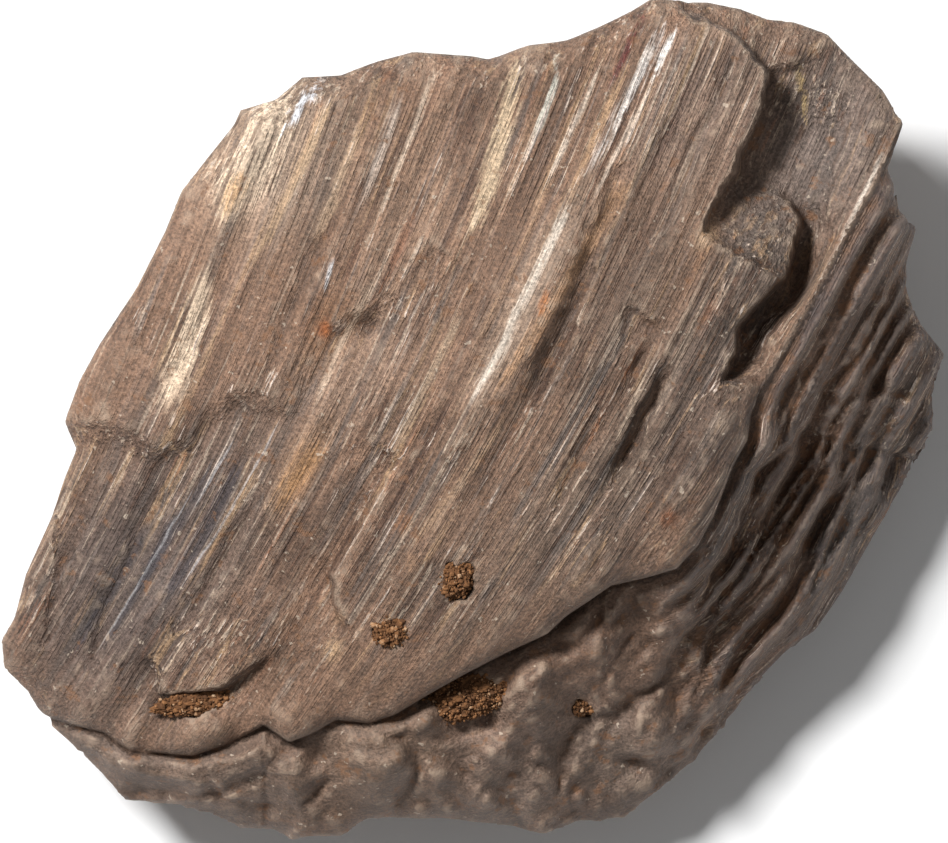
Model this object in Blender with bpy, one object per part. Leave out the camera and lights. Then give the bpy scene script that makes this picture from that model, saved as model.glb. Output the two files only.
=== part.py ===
"""A hand specimen of rough petrified wood, lying on its back.

The stone is one block. Its big upper face is split along the grain of the log, its right flank
steps down through the layers, and its front end is worn into lips, hollows and knobs. Crumbs of
soil are still lodged in its pits and crevices, each lump a piece of its own.

Places are given in millimetres on the specimen's plan, seen from above: x runs to the right and
y down the plan, from the upper left corner of the stone. Heights are above the surface it lies on.
"""
from itertools import product

import bmesh
import bpy
import numpy as np

# Driving dimensions, in millimetres
MM = 0.001
LENGTH = 94.7
WIDTH = 84.2
PLAN_CENTRE = (47.45, 42.1)
CREST_HEIGHT = 36.0
MESH_STEP = 0.64
STONE_TRIANGLES = 8200
FOOT_TOLERANCE = 0.05
SOIL_GAP = 0.55
RIM_ALLOWANCE = 0.45
CLEAR_OF_SURFACE = 0.15

# The grain of the upper face and the slopes on either side of its crest
GRAIN_ANGLE = np.radians(62.0)
CREST_POINT = (52.0, 35.0)
CREST_RADIUS = 4.0
SLOPE_LEFT_OF_CREST = 0.12
SLOPE_RIGHT_OF_CREST = 0.24
SLOPE_TO_FRONT = 0.08
FRONT_ROUNDING = 0.0035

# The edge of the widest section, clockwise from the upper left
OUTLINE = [
    (24.3, 11.3), (27.8, 10.3), (30.4, 8.0), (34.2, 7.9), (37.8, 6.5), (41.4, 5.6), (47.3, 6.1),
    (48.9, 6.5), (50.9, 5.7), (52.7, 5.0), (56.6, 4.5), (60.3, 2.9), (63.0, 1.5), (65.2, 0.1),
    (68.6, 0.6), (70.5, 0.6), (73.7, 1.2), (76.7, 2.2), (79.1, 2.4), (82.5, 3.6), (85.2, 6.5),
    (88.1, 9.2), (90.2, 12.4), (88.5, 17.1), (89.4, 19.3), (89.7, 21.2), (91.6, 22.8),
    (90.4, 26.6), (90.6, 29.3), (92.1, 32.6), (94.6, 35.4), (93.4, 39.3), (93.7, 43.1),
    (91.2, 47.6), (88.2, 52.7), (84.6, 59.1), (81.9, 63.3), (78.2, 66.0), (75.8, 69.0),
    (72.8, 73.2), (69.5, 76.9), (66.9, 78.8), (62.5, 82.6), (58.0, 82.9), (54.4, 83.9),
    (50.4, 82.8), (44.6, 81.9), (38.8, 81.7), (36.4, 82.0), (34.3, 83.7), (31.0, 83.7),
    (29.1, 84.2), (27.3, 83.1), (23.9, 83.0), (21.2, 81.5), (17.8, 80.6), (14.8, 80.5),
    (12.4, 80.4), (10.0, 77.5), (7.0, 74.4), (4.2, 71.9), (2.7, 69.2), (0.2, 66.8), (0.1, 63.9),
    (1.5, 61.7), (2.7, 57.5), (5.4, 51.8), (6.6, 48.2), (8.0, 44.9), (6.7, 42.2), (8.2, 38.2),
    (10.2, 34.6), (14.0, 28.9), (16.9, 23.1), (18.4, 19.3), (21.3, 15.7), (23.7, 12.7),
]

# The free edge of the upper slab, from the left to the upper right, with its height of fall
SLAB_EDGE = [
    (-6.0, 70.0, 1.0), (5.4, 72.3, 1.2), (10.3, 73.5, 1.6), (13.0, 75.3, 1.8), (16.3, 75.5, 1.6),
    (19.3, 75.7, 1.6), (23.0, 74.5, 1.6), (26.5, 72.6, 1.8), (28.9, 74.3, 2.2), (31.5, 73.3, 2.6),
    (33.7, 72.0, 2.6), (36.9, 72.4, 2.6), (39.6, 71.5, 3.0), (43.0, 69.4, 3.4), (46.5, 67.4, 3.6),
    (50.6, 65.3, 3.6), (54.7, 63.4, 3.8), (56.6, 61.6, 3.8), (58.7, 60.2, 3.8), (61.0, 58.6, 3.6),
    (64.5, 57.8, 3.4), (67.6, 56.9, 3.0), (69.7, 54.6, 2.6), (71.4, 51.4, 2.4), (73.2, 46.6, 2.2),
    (74.7, 44.0, 1.8), (75.0, 41.6, 1.3), (76.3, 38.4, 1.0), (78.6, 34.6, 1.0), (81.5, 29.4, 1.0),
    (84.6, 23.4, 1.0), (87.4, 18.6, 1.0), (89.9, 13.0, 0.8), (96.0, 2.0, 0.6),
]

# Ledges of the upper face: places with the height of fall, low on the right of the way drawn,
# and how far the lower level reaches before it has risen again
FACE_LEDGES = [
    ([(69.6, 24.0, 1.0), (71.3, 21.2, 3.0), (73.4, 17.2, 4.8), (74.6, 14.8, 5.4), (75.7, 12.1, 5.4),
      (76.4, 7.6, 4.2), (76.1, 6.5, 3.2), (72.2, 3.9, 1.8), (67.5, 0.8, 1.2)], 19.0),
    ([(72.4, 38.6, 1.4), (72.6, 35.8, 3.6), (74.0, 32.6, 4.6), (76.6, 29.9, 5.0), (78.6, 26.8, 4.8),
      (79.6, 22.8, 3.4), (78.8, 20.4, 1.4), (77.2, 18.6, 0.4)], 6.0),
    ([(6.0, 42.6, 1.3), (11.0, 43.0, 1.3), (15.0, 45.2, 1.2), (19.0, 44.0, 1.2), (24.0, 40.2, 1.2),
      (28.8, 41.0, 0.9), (30.4, 36.8, 1.2), (33.0, 33.0, 1.4), (37.0, 32.0, 1.0),
      (43.0, 24.0, 0.2)], 34.0),
    ([(40.5, 46.0, 0.3), (38.5, 48.1, 0.9), (35.8, 52.1, 1.3), (34.3, 55.4, 1.4), (33.4, 58.1, 1.8),
      (33.9, 61.0, 1.6), (35.4, 63.6, 0.6)], 11.0),
    ([(15.1, 65.0, 0.6), (15.8, 69.0, 1.2), (17.2, 69.6, 1.8), (19.5, 69.1, 2.2), (21.8, 68.6, 2.4),
      (24.0, 67.4, 2.2), (25.6, 66.0, 1.4), (27.4, 64.8, 0.6)], 5.5),
    ([(61.4, 31.2, 0.3), (63.0, 31.2, 0.7), (65.0, 32.0, 0.7), (66.0, 33.4, 0.3)], 9.0),
]

# Ledges of the flanks below the slab, drawn the same way
FLANK_LEDGES = [
    ([(82.0, 39.8, 1.0), (84.3, 36.5, 1.7), (86.6, 33.6, 2.0), (87.5, 31.4, 2.2), (88.6, 29.8, 2.2),
      (88.8, 28.6, 2.0), (89.9, 27.0, 1.6), (90.8, 24.8, 1.0)], 6.0),
    ([(67.4, 63.8, 0.9), (69.5, 60.2, 1.8), (71.5, 56.9, 2.2), (74.2, 50.6, 2.4), (75.8, 47.4, 2.4),
      (78.9, 44.5, 2.6), (80.9, 41.9, 2.2), (83.0, 38.6, 1.0)], 7.0),
    ([(67.0, 60.6, 0.8), (70.0, 56.4, 1.4), (73.4, 49.0, 1.6), (75.8, 45.9, 1.6), (77.8, 42.5, 1.5),
      (78.8, 40.2, 1.2), (82.4, 34.2, 1.2), (85.0, 29.0, 0.8)], 4.0),
    ([(78.0, 57.4, 0.6), (80.7, 53.3, 1.3), (82.5, 49.8, 1.5), (84.2, 46.8, 1.5), (86.2, 43.7, 1.4),
      (88.4, 40.2, 0.8)], 4.5),
    ([(86.6, 49.6, 0.8), (88.0, 48.2, 1.4), (89.3, 45.9, 1.5), (91.1, 42.7, 1.1),
      (92.0, 40.2, 0.5)], 5.0),
    ([(57.0, 72.5, 0.5), (61.5, 71.0, 1.2), (65.5, 67.6, 1.6), (68.6, 63.6, 1.6),
      (71.0, 60.0, 1.0)], 6.0),
    ([(60.0, 75.6, 0.5), (63.5, 75.2, 1.3), (66.3, 75.4, 1.6), (69.0, 74.4, 1.7), (71.4, 72.2, 1.5),
      (74.6, 68.2, 0.8)], 6.0),
    ([(12.0, 77.2, 0.4), (14.5, 78.9, 0.9), (17.4, 78.2, 0.9), (20.4, 77.0, 0.7), (22.2, 80.0, 0.9),
      (26.4, 80.0, 0.8), (29.5, 81.4, 0.6)], 5.0),
]

# Ridges and grooves of the upper face: places, half width and height, grooves below nought
FACE_CREASES = [
    ([(60.4, 20.2), (57.3, 25.1), (54.8, 29.3), (52.7, 33.6), (48.8, 40.2), (43.5, 47.5)], 1.4, 0.8),
    ([(63.4, 16.0), (59.6, 23.6), (57.9, 28.7), (56.0, 33.3), (53.9, 37.5), (51.6, 41.4)], 1.0, -1.1),
    ([(65.2, 32.0), (64.6, 34.6), (62.9, 38.2), (61.6, 41.4)], 0.7, -1.0),
    ([(66.3, 35.2), (65.9, 38.2), (64.6, 40.8), (63.0, 44.4), (60.6, 49.4)], 0.9, -1.6),
    ([(73.8, 4.6), (71.4, 11.0), (68.6, 18.0), (65.2, 26.0)], 0.7, -0.6),
    ([(60.6, 40.0), (57.6, 46.6), (54.0, 53.0)], 0.7, -0.7),
    ([(69.6, 41.0), (66.8, 46.8), (64.0, 51.6)], 0.8, -0.8),
    ([(34.0, 20.0), (29.6, 30.0), (27.0, 38.4)], 0.7, -0.45),
    ([(43.4, 40.0), (37.6, 51.6)], 0.7, -0.5),
    ([(26.0, 49.4), (20.4, 60.0), (17.6, 64.4)], 0.7, -0.7),
    ([(17.4, 47.6), (11.4, 60.0), (8.4, 69.0)], 0.7, -0.7),
    ([(10.4, 46.4), (6.4, 57.0), (4.0, 66.0)], 0.6, -0.5),
    ([(60.6, 54.4), (59.6, 56.6), (58.6, 58.8)], 0.6, -1.3),
    ([(81.4, 20.6), (80.6, 24.6), (79.3, 28.3), (77.0, 31.6), (74.8, 34.2), (73.2, 38.0)], 1.3, -1.0),
    ([(30.6, 8.6), (27.0, 13.6), (22.6, 21.4), (19.6, 30.0), (16.8, 40.0)], 1.6, 0.35),
    ([(66.0, 2.4), (62.0, 10.4), (57.4, 19.2), (54.0, 25.4)], 1.0, 0.35),
    ([(52.0, 6.0), (49.8, 14.0), (47.4, 23.6)], 1.4, -0.3),
    ([(69.0, 10.5), (66.0, 18.0), (63.0, 25.0)], 1.4, -0.45),
    ([(20.0, 50.0), (14.0, 59.0), (9.0, 67.0)], 1.6, -0.4),
]

# Ridges and grooves of the flanks
FLANK_CREASES = [
    ([(83.4, 43.4), (80.2, 48.2), (77.2, 52.8), (74.4, 57.2)], 2.0, -2.4),
    ([(83.8, 52.0), (80.6, 56.6), (77.4, 60.8), (73.4, 66.0)], 1.3, -1.2),
    ([(85.8, 53.0), (82.4, 57.8), (79.0, 62.0), (75.6, 66.4)], 1.3, 0.9),
    ([(82.6, 41.0), (85.4, 39.6), (88.2, 39.0), (91.0, 40.0), (94.0, 39.6)], 0.6, -0.7),
    ([(84.0, 20.0), (80.0, 27.0), (77.0, 32.0), (74.0, 38.0)], 1.0, 0.3),
    ([(31.0, 78.0), (32.6, 82.0)], 2.4, -1.6),
    ([(44.0, 77.6), (46.8, 78.5), (48.8, 80.6), (51.6, 83.0)], 1.5, 1.0),
    ([(30.6, 80.6), (33.6, 81.4), (36.6, 79.6)], 1.2, 0.8),
    ([(28.8, 75.0), (30.6, 77.2)], 1.0, 0.7),
]

# Knobs and hollows, as place, half length, half width and height, long along the grain
FACE_LUMPS = [
    (59.0, 57.2, 4.2, 2.4, 1.8), (69.4, 48.0, 6.4, 3.8, 2.0), (72.0, 42.0, 3.2, 2.6, 1.2),
    (46.0, 61.5, 7.0, 9.0, 0.9), (20.5, 66.5, 3.0, 4.5, 0.8), (36.9, 32.6, 1.6, 1.2, -1.3),
    (20.0, 73.0, 3.4, 3.0, 1.0), (28.6, 71.6, 3.0, 2.6, 0.9), (70.4, 24.0, 1.6, 1.2, 0.6),
    (82.0, 14.0, 6.0, 4.0, -0.8), (31.5, 31.5, 6.0, 4.0, -0.5), (75.5, 25.5, 6.0, 3.2, 1.2),
]
FLANK_LUMPS = [
    (53.2, 70.4, 3.4, 2.8, 2.5), (50.2, 75.0, 2.6, 2.2, 1.8), (57.2, 75.2, 3.4, 3.0, -1.4),
    (35.0, 77.0, 4.4, 3.0, 1.4), (31.6, 75.6, 2.0, 2.4, -1.8), (40.0, 76.6, 3.4, 3.4, 1.4),
    (45.0, 74.6, 2.6, 3.0, 1.2), (33.2, 80.0, 1.8, 2.2, -1.5), (22.8, 78.0, 2.6, 3.0, 1.2),
    (64.0, 79.6, 2.6, 3.0, 0.9), (78.2, 39.4, 3.0, 1.4, -1.4), (87.6, 38.4, 1.1, 0.9, -1.8),
    (41.0, 80.0, 2.0, 3.0, -1.0), (63.4, 62.4, 3.4, 2.0, -1.5),
    (43.0, 72.2, 2.0, 1.8, 1.0), (38.6, 73.6, 2.0, 2.0, 1.2), (30.6, 72.4, 2.2, 2.0, 1.5),
    (26.6, 76.2, 1.8, 2.4, 1.1), (19.0, 78.4, 1.6, 2.2, 1.2), (14.0, 76.6, 1.6, 2.0, 1.0),
    (48.4, 80.0, 2.2, 2.6, 1.0), (54.0, 79.0, 2.2, 2.6, 0.8), (61.0, 66.0, 2.4, 2.4, 1.0),
    (58.2, 70.4, 2.6, 2.4, -1.0), (47.0, 70.6, 2.2, 5.0, -1.2),
]

# Lodged soil: name, place, depth of its middle, three half sizes and the turn of its length
SOIL_LUMPS = [
    ("soil_plug_upper", (45.5, 57.7), 1.0, (2.1, 1.8, 1.5), 62.0),
    ("soil_plug_lower", (39.5, 62.6), 1.0, (2.2, 1.8, 1.4), 30.0),
    ("soil_in_front_crevice", (47.2, 69.8), 0.5, (4.3, 1.8, 1.3), 20.0),
    ("soil_plug_small", (58.2, 70.4), 0.8, (1.3, 1.2, 1.2), 0.0),
    ("soil_in_left_crevice", (20.2, 70.1), 0.3, (4.6, 1.2, 1.1), 8.0),
]

# Base colours, linear, with roughness
STONE_FINISH = ((0.190, 0.133, 0.100, 1.0), 0.72)
SOIL_FINISH = ((0.110, 0.052, 0.026, 1.0), 0.95)

LATTICE = np.random.default_rng(7).uniform(-1.0, 1.0, (32, 32, 32))


def ease(value):
    """A soft switch from 0 to 1 as the value goes from 0 to 1."""
    part = np.clip(value, 0.0, 1.0)
    return part * part * (3.0 - 2.0 * part)


def noise(a, b, c):
    """Smooth lattice noise between -1 and 1."""
    cells = [np.floor(value).astype(int) for value in np.broadcast_arrays(a, b, c)]
    parts = [ease(value - cell) for value, cell in zip((a, b, c), cells)]
    total = 0.0
    for corner in product((0, 1), repeat=3):
        weight = 1.0
        for part, side in zip(parts, corner):
            weight = weight * (part if side else 1.0 - part)
        places = tuple((cell + side) % 32 for cell, side in zip(cells, corner))
        total = total + weight * LATTICE[places]
    return total


def soft_max(a, b, radius):
    """The larger of two distances, with the corner between them rounded."""
    return 0.5 * (a + b + np.sqrt((a - b) ** 2 + radius * radius))


def line_distance(x, y, points):
    """Distance from a line, signed offset to its right, and the value carried along it."""
    nearest = np.full(np.shape(x), 1e9)
    offset = np.zeros(np.shape(x))
    carried = np.zeros(np.shape(x))
    taper = np.zeros(np.shape(x))
    spans = [np.hypot(b[0] - a[0], b[1] - a[1]) for a, b in zip(points, points[1:])]
    total = sum(spans)
    done = 0.0
    for start, end, span in zip(points, points[1:], spans):
        way = ((end[0] - start[0]) / span, (end[1] - start[1]) / span)
        run = np.clip((x - start[0]) * way[0] + (y - start[1]) * way[1], 0.0, span)
        away = np.hypot(x - start[0] - run * way[0], y - start[1] - run * way[1])
        side = way[0] * (y - start[1]) - way[1] * (x - start[0])
        tie = (np.abs(away - nearest) < 1e-9) & (np.abs(side) > np.abs(offset))
        better = (away < nearest - 1e-9) | tie
        offset = np.where(better, side, offset)
        if len(start) > 2:
            carried = np.where(better, start[2] + (end[2] - start[2]) * run / span, carried)
        taper = np.where(better, np.minimum(done + run, total - done - run), taper)
        nearest = np.minimum(away, nearest)
        done += span
    return nearest, np.where(offset < 0.0, -nearest, nearest), carried, taper


def inside_depth(x, y, corners):
    """How far a place lies inside a closed outline, less than nought outside it."""
    within = np.zeros(np.shape(x), bool)
    for (ax, ay), (bx, by) in zip(corners, corners[1:] + corners[:1]):
        crossed = (ay > y) != (by > y)
        meeting = ax + (y - ay) * (bx - ax) / (by - ay if by != ay else 1e-9)
        within ^= crossed & (x < meeting)
    depth = line_distance(x, y, corners + corners[:1])[0]
    return np.where(within, depth, -depth)


def grain_places(x, y, point=CREST_POINT):
    """Distance across the grain, growing to the right, and along it, growing to the front."""
    east = x - point[0]
    south = y - point[1]
    across = east * np.sin(GRAIN_ANGLE) + south * np.cos(GRAIN_ANGLE)
    along = -east * np.cos(GRAIN_ANGLE) + south * np.sin(GRAIN_ANGLE)
    return across, along


def face_height(x, y):
    """The split face before it broke and wore: a low roof that sinks to the front."""
    across, along = grain_places(x, y)
    roof = np.sqrt(across ** 2 + CREST_RADIUS ** 2) - CREST_RADIUS
    mean_slope = 0.5 * (SLOPE_RIGHT_OF_CREST + SLOPE_LEFT_OF_CREST)
    half_change = 0.5 * (SLOPE_RIGHT_OF_CREST - SLOPE_LEFT_OF_CREST)
    fall = mean_slope * roof + half_change * across
    return CREST_HEIGHT - fall - SLOPE_TO_FRONT * along - FRONT_ROUNDING * along ** 2


def relief(x, y, ledges, creases, lumps):
    """What ledges, creases and lumps add to a height."""
    height = np.zeros(np.shape(x))
    for points, reach in ledges:
        offset, fall, taper = line_distance(x, y, points)[1:]
        ends = ease(taper / 1.5 + 0.2)
        low = ease(offset / 0.9 + 0.5) * (1.0 - ease(np.abs(offset) / reach))
        height -= fall * low * ends
    for points, half_width, rise in creases:
        distance = line_distance(x, y, points)
        height += rise * np.exp(-(distance[0] / half_width) ** 2) * ease(distance[3] / 3.0 + 0.3)
    for place_x, place_y, half_length, half_width, rise in lumps:
        across, along = grain_places(x, y, (place_x, place_y))
        square = (across / half_width) ** 2 + (along / half_length) ** 2
        height += rise * np.exp(-square)
    return height


def terraces(depth, rise):
    """A depth broken into treads and steep risers."""
    steps = np.floor(depth / rise)
    return rise * (steps + ease((depth / rise - steps - 0.62) / 0.38))


class Shape:
    """Height maps of the stone on the plan, on a grid of places x and y."""

    def __init__(self, x, y):
        corner_places = [corner[:2] for corner in SLAB_EDGE]
        slab = corner_places + [(120.0, -40.0), (-40.0, -40.0), (-40.0, 70.0)]
        self.inside = inside_depth(x, y, OUTLINE)
        self.deep_inside = inside_depth(x, y, OUTLINE[::5]) - 1.4
        self.beyond_slab = -inside_depth(x, y, slab)
        self.fall = line_distance(x, y, SLAB_EDGE)[2]
        self.base = face_height(x, y)
        self.across, self.along = grain_places(x, y)
        self.right_flank = ease((x + 0.4 * (40.0 - y) - 52.0) / 14.0)
        self.slab_top = self.make_slab(x, y)
        self.core_top = self.make_core(x, y)
        under_slab = ease(-self.beyond_slab / 1.4)
        self.core_top -= under_slab * np.maximum(self.core_top - self.slab_top + 0.4, 0.0)

    def make_slab(self, x, y):
        """The upper slab: split face, ledges, and edges rounded by wear."""
        top = self.base + relief(x, y, FACE_LEDGES, FACE_CREASES, FACE_LUMPS)
        lip_width = 2.5 + 3.0 * (1.0 - self.right_flank)
        lip = np.clip(1.0 + self.beyond_slab / lip_width, 0.0, 1.0)
        top = top - (0.4 + 0.9 * (1.0 - self.right_flank)) * lip ** 2
        top = top - 1.3 * np.clip(1.0 - self.inside / 3.5, 0.0, 1.0) ** 2
        top = top + 0.22 * noise(self.across / 1.6, self.along / 26.0, 3.5)
        return top + 0.35 * noise(self.across / 5.0, self.along / 16.0, 9.5)

    def make_core(self, x, y):
        """The block below the slab: stepped right flank and knobbly front."""
        out = np.maximum(self.beyond_slab, 0.0)
        steep = 0.86 * out + 0.006 * out ** 2
        shelly = ease((32.0 - x) / 8.0) * ease(out / 1.2)
        knobbly = (0.12 + 0.45 * shelly) * out + 0.014 * out ** 2
        depth = self.right_flank * steep + (1.0 - self.right_flank) * knobbly
        wave = noise(out / 3.4, self.along / 15.0, 5.5) + 0.5 * noise(out / 1.5, self.along / 8.0, 1.5)
        stepped = terraces(depth + 1.1 * wave, 2.3)
        swerve_x = x + 1.3 * noise(x / 3.1, y / 3.1, 20.5)
        swerve_y = y + 1.3 * noise(x / 3.1, y / 3.1, 24.5)
        turned = grain_places(swerve_x, swerve_y)
        knobs = 2.8 * np.abs(noise(turned[0] / 4.2, turned[1] / 5.4, 2.5))
        knobs = knobs + 1.2 * np.abs(noise(turned[0] / 1.9, turned[1] / 2.3, 7.5))
        share = 0.9 * self.right_flank * ease(out / 1.5)
        depth = (1.0 - share) * depth + share * stepped
        depth = depth + (1.0 - self.right_flank) * (1.0 - 0.7 * shelly) * (1.4 - knobs) * ease(out / 2.0)
        notch = 1.6 * (1.0 - self.right_flank) * np.exp(-((self.beyond_slab + 0.8) / 1.4) ** 2)
        top = self.base - self.fall - depth - notch
        top = top + relief(x, y, FLANK_LEDGES, FLANK_CREASES, FLANK_LUMPS)
        return top - 1.5 * np.clip(1.0 - self.inside / 2.5, 0.0, 1.0) ** 2


def ellipsoid_depth(x, y, z, lump, shape_height, grow):
    """How far places lie outside a lump of soil, roughly, less than nought inside it."""
    place, depth, radii, turn = lump[1:]
    angle = np.radians(turn)
    east = x - place[0]
    north = place[1] - y
    local = (
        (east * np.cos(angle) + north * np.sin(angle)) / (radii[0] + grow),
        (north * np.cos(angle) - east * np.sin(angle)) / (radii[1] + grow),
        (z - shape_height + depth) / (radii[2] + grow),
    )
    reach = np.sqrt(local[0] ** 2 + local[1] ** 2 + local[2] ** 2)
    return (reach - 1.0) * min(radii)


def height_at(place):
    """Height of the stone's upper surface at one place of the plan."""
    shape = Shape(np.array([place[0]]), np.array([place[1]]))
    top = shape.slab_top if shape.beyond_slab[0] < 0.0 else shape.core_top
    return float(top[0])


def stone_field(x, y, z):
    """Distance from the stone's surface in millimetres, less than nought inside."""
    shape = Shape(x[:, :, 0], y[:, :, 0])
    inside = shape.inside[:, :, None]
    beyond = shape.beyond_slab[:, :, None]
    slab_top = shape.slab_top[:, :, None]
    core_top = shape.core_top[:, :, None]
    slab = soft_max(z - slab_top, beyond, 0.9)
    slab = np.maximum(slab, slab_top - 3.2 - z)
    field = np.minimum(slab, (z - core_top) * 0.8)

    top = np.where(beyond < 0.0, slab_top, core_top)
    depth = np.maximum(top - z, 0.0)
    across = shape.across[:, :, None]
    along = shape.along[:, :, None]
    layers = noise(across / 3.6, along / 21.0, depth / 1.9)
    layers = layers + 0.5 * noise(across / 1.7, along / 9.0, depth / 0.9)
    broken = 1.3 * np.clip(layers + 0.25, 0.0, 1.2) * ease((depth - 0.6) / 2.0)
    lower = ease(depth / 6.0)
    reach = np.minimum(inside, (1.0 - lower) * inside + lower * shape.deep_inside[:, :, None])
    wall = 0.03 * depth + broken - reach - RIM_ALLOWANCE
    girdle = np.clip(0.5 * top + 4.0 * noise(x / 19.0, y / 19.0, 6.5), 4.5, 16.0)
    turn_in = 12.0 + 7.0 * noise(x / 15.0, y / 15.0, 4.5)
    facets = 1.6 * np.abs(noise(x / 8.0, y / 8.0, z / 9.0)) + 0.5 * noise(x / 2.6, y / 2.6, z / 2.6)
    under = girdle * (1.0 - inside / turn_in) + facets + 0.5 * broken - z
    under = under / np.sqrt(1.0 + (girdle / turn_in) ** 2)
    field = soft_max(field, soft_max(wall, under, 1.2), 0.8)
    for lump in SOIL_LUMPS:
        field = np.maximum(field, -ellipsoid_depth(x, y, z, lump, height_at(lump[1]), SOIL_GAP))
    return np.maximum(field, -z)


def without_diagonals(field):
    """Fill wherever two corners are alike only across a cell's face or through its middle."""
    while fill_across_faces(field) or fill_through_cells(field):
        pass
    return field


def fill_across_faces(field):
    """Fill between two solid corners that face each other across a cell face."""
    changed = False
    for first, second in ((0, 1), (0, 2), (1, 2)):
        grid = np.moveaxis(field, (first, second), (0, 1))
        a, b = grid[:-1, :-1], grid[1:, :-1]
        c, d = grid[1:, 1:], grid[:-1, 1:]
        one_way = (a < 0) & (c < 0) & (b >= 0) & (d >= 0)
        other_way = (b < 0) & (d < 0) & (a >= 0) & (c >= 0)
        changed = changed or one_way.any() or other_way.any()
        b[one_way] = -CLEAR_OF_SURFACE
        a[other_way] = -CLEAR_OF_SURFACE
    return changed


def fill_through_cells(field):
    """Fill a cell in which two corners are alike only through its middle."""
    changed = False
    cells = tuple(count - 1 for count in field.shape)
    corners = list(product((0, 1), repeat=3))
    views = [field[tuple(slice(s, s + n) for s, n in zip(corner, cells))] for corner in corners]
    for first in range(4):
        for sign in (1.0, -1.0):
            alone = np.ones(cells, bool)
            for place, view in enumerate(views):
                paired = place in (first, 7 - first)
                alone &= (sign * view < 0) if paired else (sign * view >= 0)
            changed = changed or alone.any()
            for view in views:
                view[alone] = np.minimum(view[alone], -CLEAR_OF_SURFACE)
    return changed


def surface_of(field, origin, step):
    """Points and four-sided faces of the surface where a sampled field is nought."""
    cells = tuple(count - 1 for count in field.shape)

    def shifted(corner):
        return field[tuple(slice(side, side + count) for side, count in zip(corner, cells))]

    corners = list(product((0, 1), repeat=3))
    solid = sum((shifted(corner) < 0.0).astype(np.int8) for corner in corners)
    active = (solid > 0) & (solid < 8)
    number = np.full(cells, -1)
    number[active] = np.arange(np.count_nonzero(active))
    total = np.zeros((np.count_nonzero(active), 3))
    hits = np.zeros(len(total))
    for start, end in product(corners, corners):
        if sum(end) - sum(start) != 1 or any(a > b for a, b in zip(start, end)):
            continue
        low, high = shifted(start)[active], shifted(end)[active]
        crossed = (low < 0.0) != (high < 0.0)
        part = np.where(crossed, low / np.where(crossed, low - high, 1.0), 0.0)
        place = np.array(start) + part[:, None] * (np.array(end) - np.array(start))
        total += np.where(crossed[:, None], place, 0.0)
        hits += crossed
    points = np.array(origin) + step * (np.argwhere(active) + total / hits[:, None])
    return points, faces_between(field, number)


def faces_between(field, number):
    """One face across each grid edge that passes through the surface."""
    faces = []
    for axis in range(3):
        others = [other for other in range(3) if other != axis]
        grid = np.moveaxis(field, [axis] + others, (0, 1, 2))
        cell = np.moveaxis(number, [axis] + others, (0, 1, 2))
        low, high = grid[:-1, 1:-1, 1:-1], grid[1:, 1:-1, 1:-1]
        ring = np.stack([cell[:, :-1, :-1], cell[:, 1:, :-1], cell[:, 1:, 1:], cell[:, :-1, 1:]], -1)
        leaving = (low < 0.0) & (high >= 0.0)
        entering = (low >= 0.0) & (high < 0.0)
        if axis != 1:
            leaving, entering = entering, leaving
        faces.append(ring[leaving])
        faces.append(ring[entering][:, ::-1])
    return np.concatenate(faces)


def to_part(points):
    """Plan millimetres to the part's frame in metres, with y turned upward."""
    moved = np.array(points, float)
    moved[:, 0] -= PLAN_CENTRE[0]
    moved[:, 1] = PLAN_CENTRE[1] - moved[:, 1]
    return moved * MM


def keep_largest_body(mesh):
    """Drop loose crumbs that the noise leaves beside the stone."""
    edit = bmesh.new()
    edit.from_mesh(mesh)
    unseen = set(edit.verts)
    bodies = []
    while unseen:
        body = [unseen.pop()]
        for vertex in body:
            for edge in vertex.link_edges:
                other = edge.other_vert(vertex)
                if other in unseen:
                    unseen.remove(other)
                    body.append(other)
        bodies.append(body)
    bodies.sort(key=len)
    loose = [vertex for body in bodies[:-1] for vertex in body]
    bmesh.ops.delete(edit, geom=loose, context="VERTS")
    edit.to_mesh(mesh)
    edit.free()


def finish_material(name, finish):
    """A plain principled material."""
    material = bpy.data.materials.new(name)
    material.use_nodes = True
    shader = material.node_tree.nodes["Principled BSDF"]
    colour, roughness = finish
    shader.inputs["Base Color"].default_value = colour
    shader.inputs["Roughness"].default_value = roughness
    shader.inputs["Metallic"].default_value = 0.0
    material.diffuse_color = colour
    return material


def add_object(name, mesh, finish):
    """Put a mesh in the scene under a name, with a material of its own."""
    thing = bpy.data.objects.new(name, mesh)
    bpy.context.collection.objects.link(thing)
    mesh.materials.append(finish_material(name, finish))
    return thing


def build_stone():
    """Sample the stone's shape, mesh its surface and reduce it to flat facets."""
    margin = 2.0
    axes = [
        np.arange(-margin, LENGTH + margin, MESH_STEP),
        np.arange(-margin, WIDTH + margin, MESH_STEP),
        np.arange(-1.4 * MESH_STEP, CREST_HEIGHT + 4.0, MESH_STEP),
    ]
    x, y, z = np.meshgrid(*axes, indexing="ij")
    field = without_diagonals(stone_field(x, y, z))
    points, faces = surface_of(field, [axis[0] for axis in axes], MESH_STEP)
    mesh = bpy.data.meshes.new("petrified_wood")
    mesh.from_pydata(to_part(points).tolist(), [], faces.tolist())
    keep_largest_body(mesh)
    stone = add_object("petrified_wood", mesh, STONE_FINISH)
    fewer = stone.modifiers.new("fewer_facets", "DECIMATE")
    fewer.ratio = STONE_TRIANGLES / (2.0 * len(mesh.polygons))
    fewer.use_collapse_triangulate = True
    flatten_foot(stone)
    return stone


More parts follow.
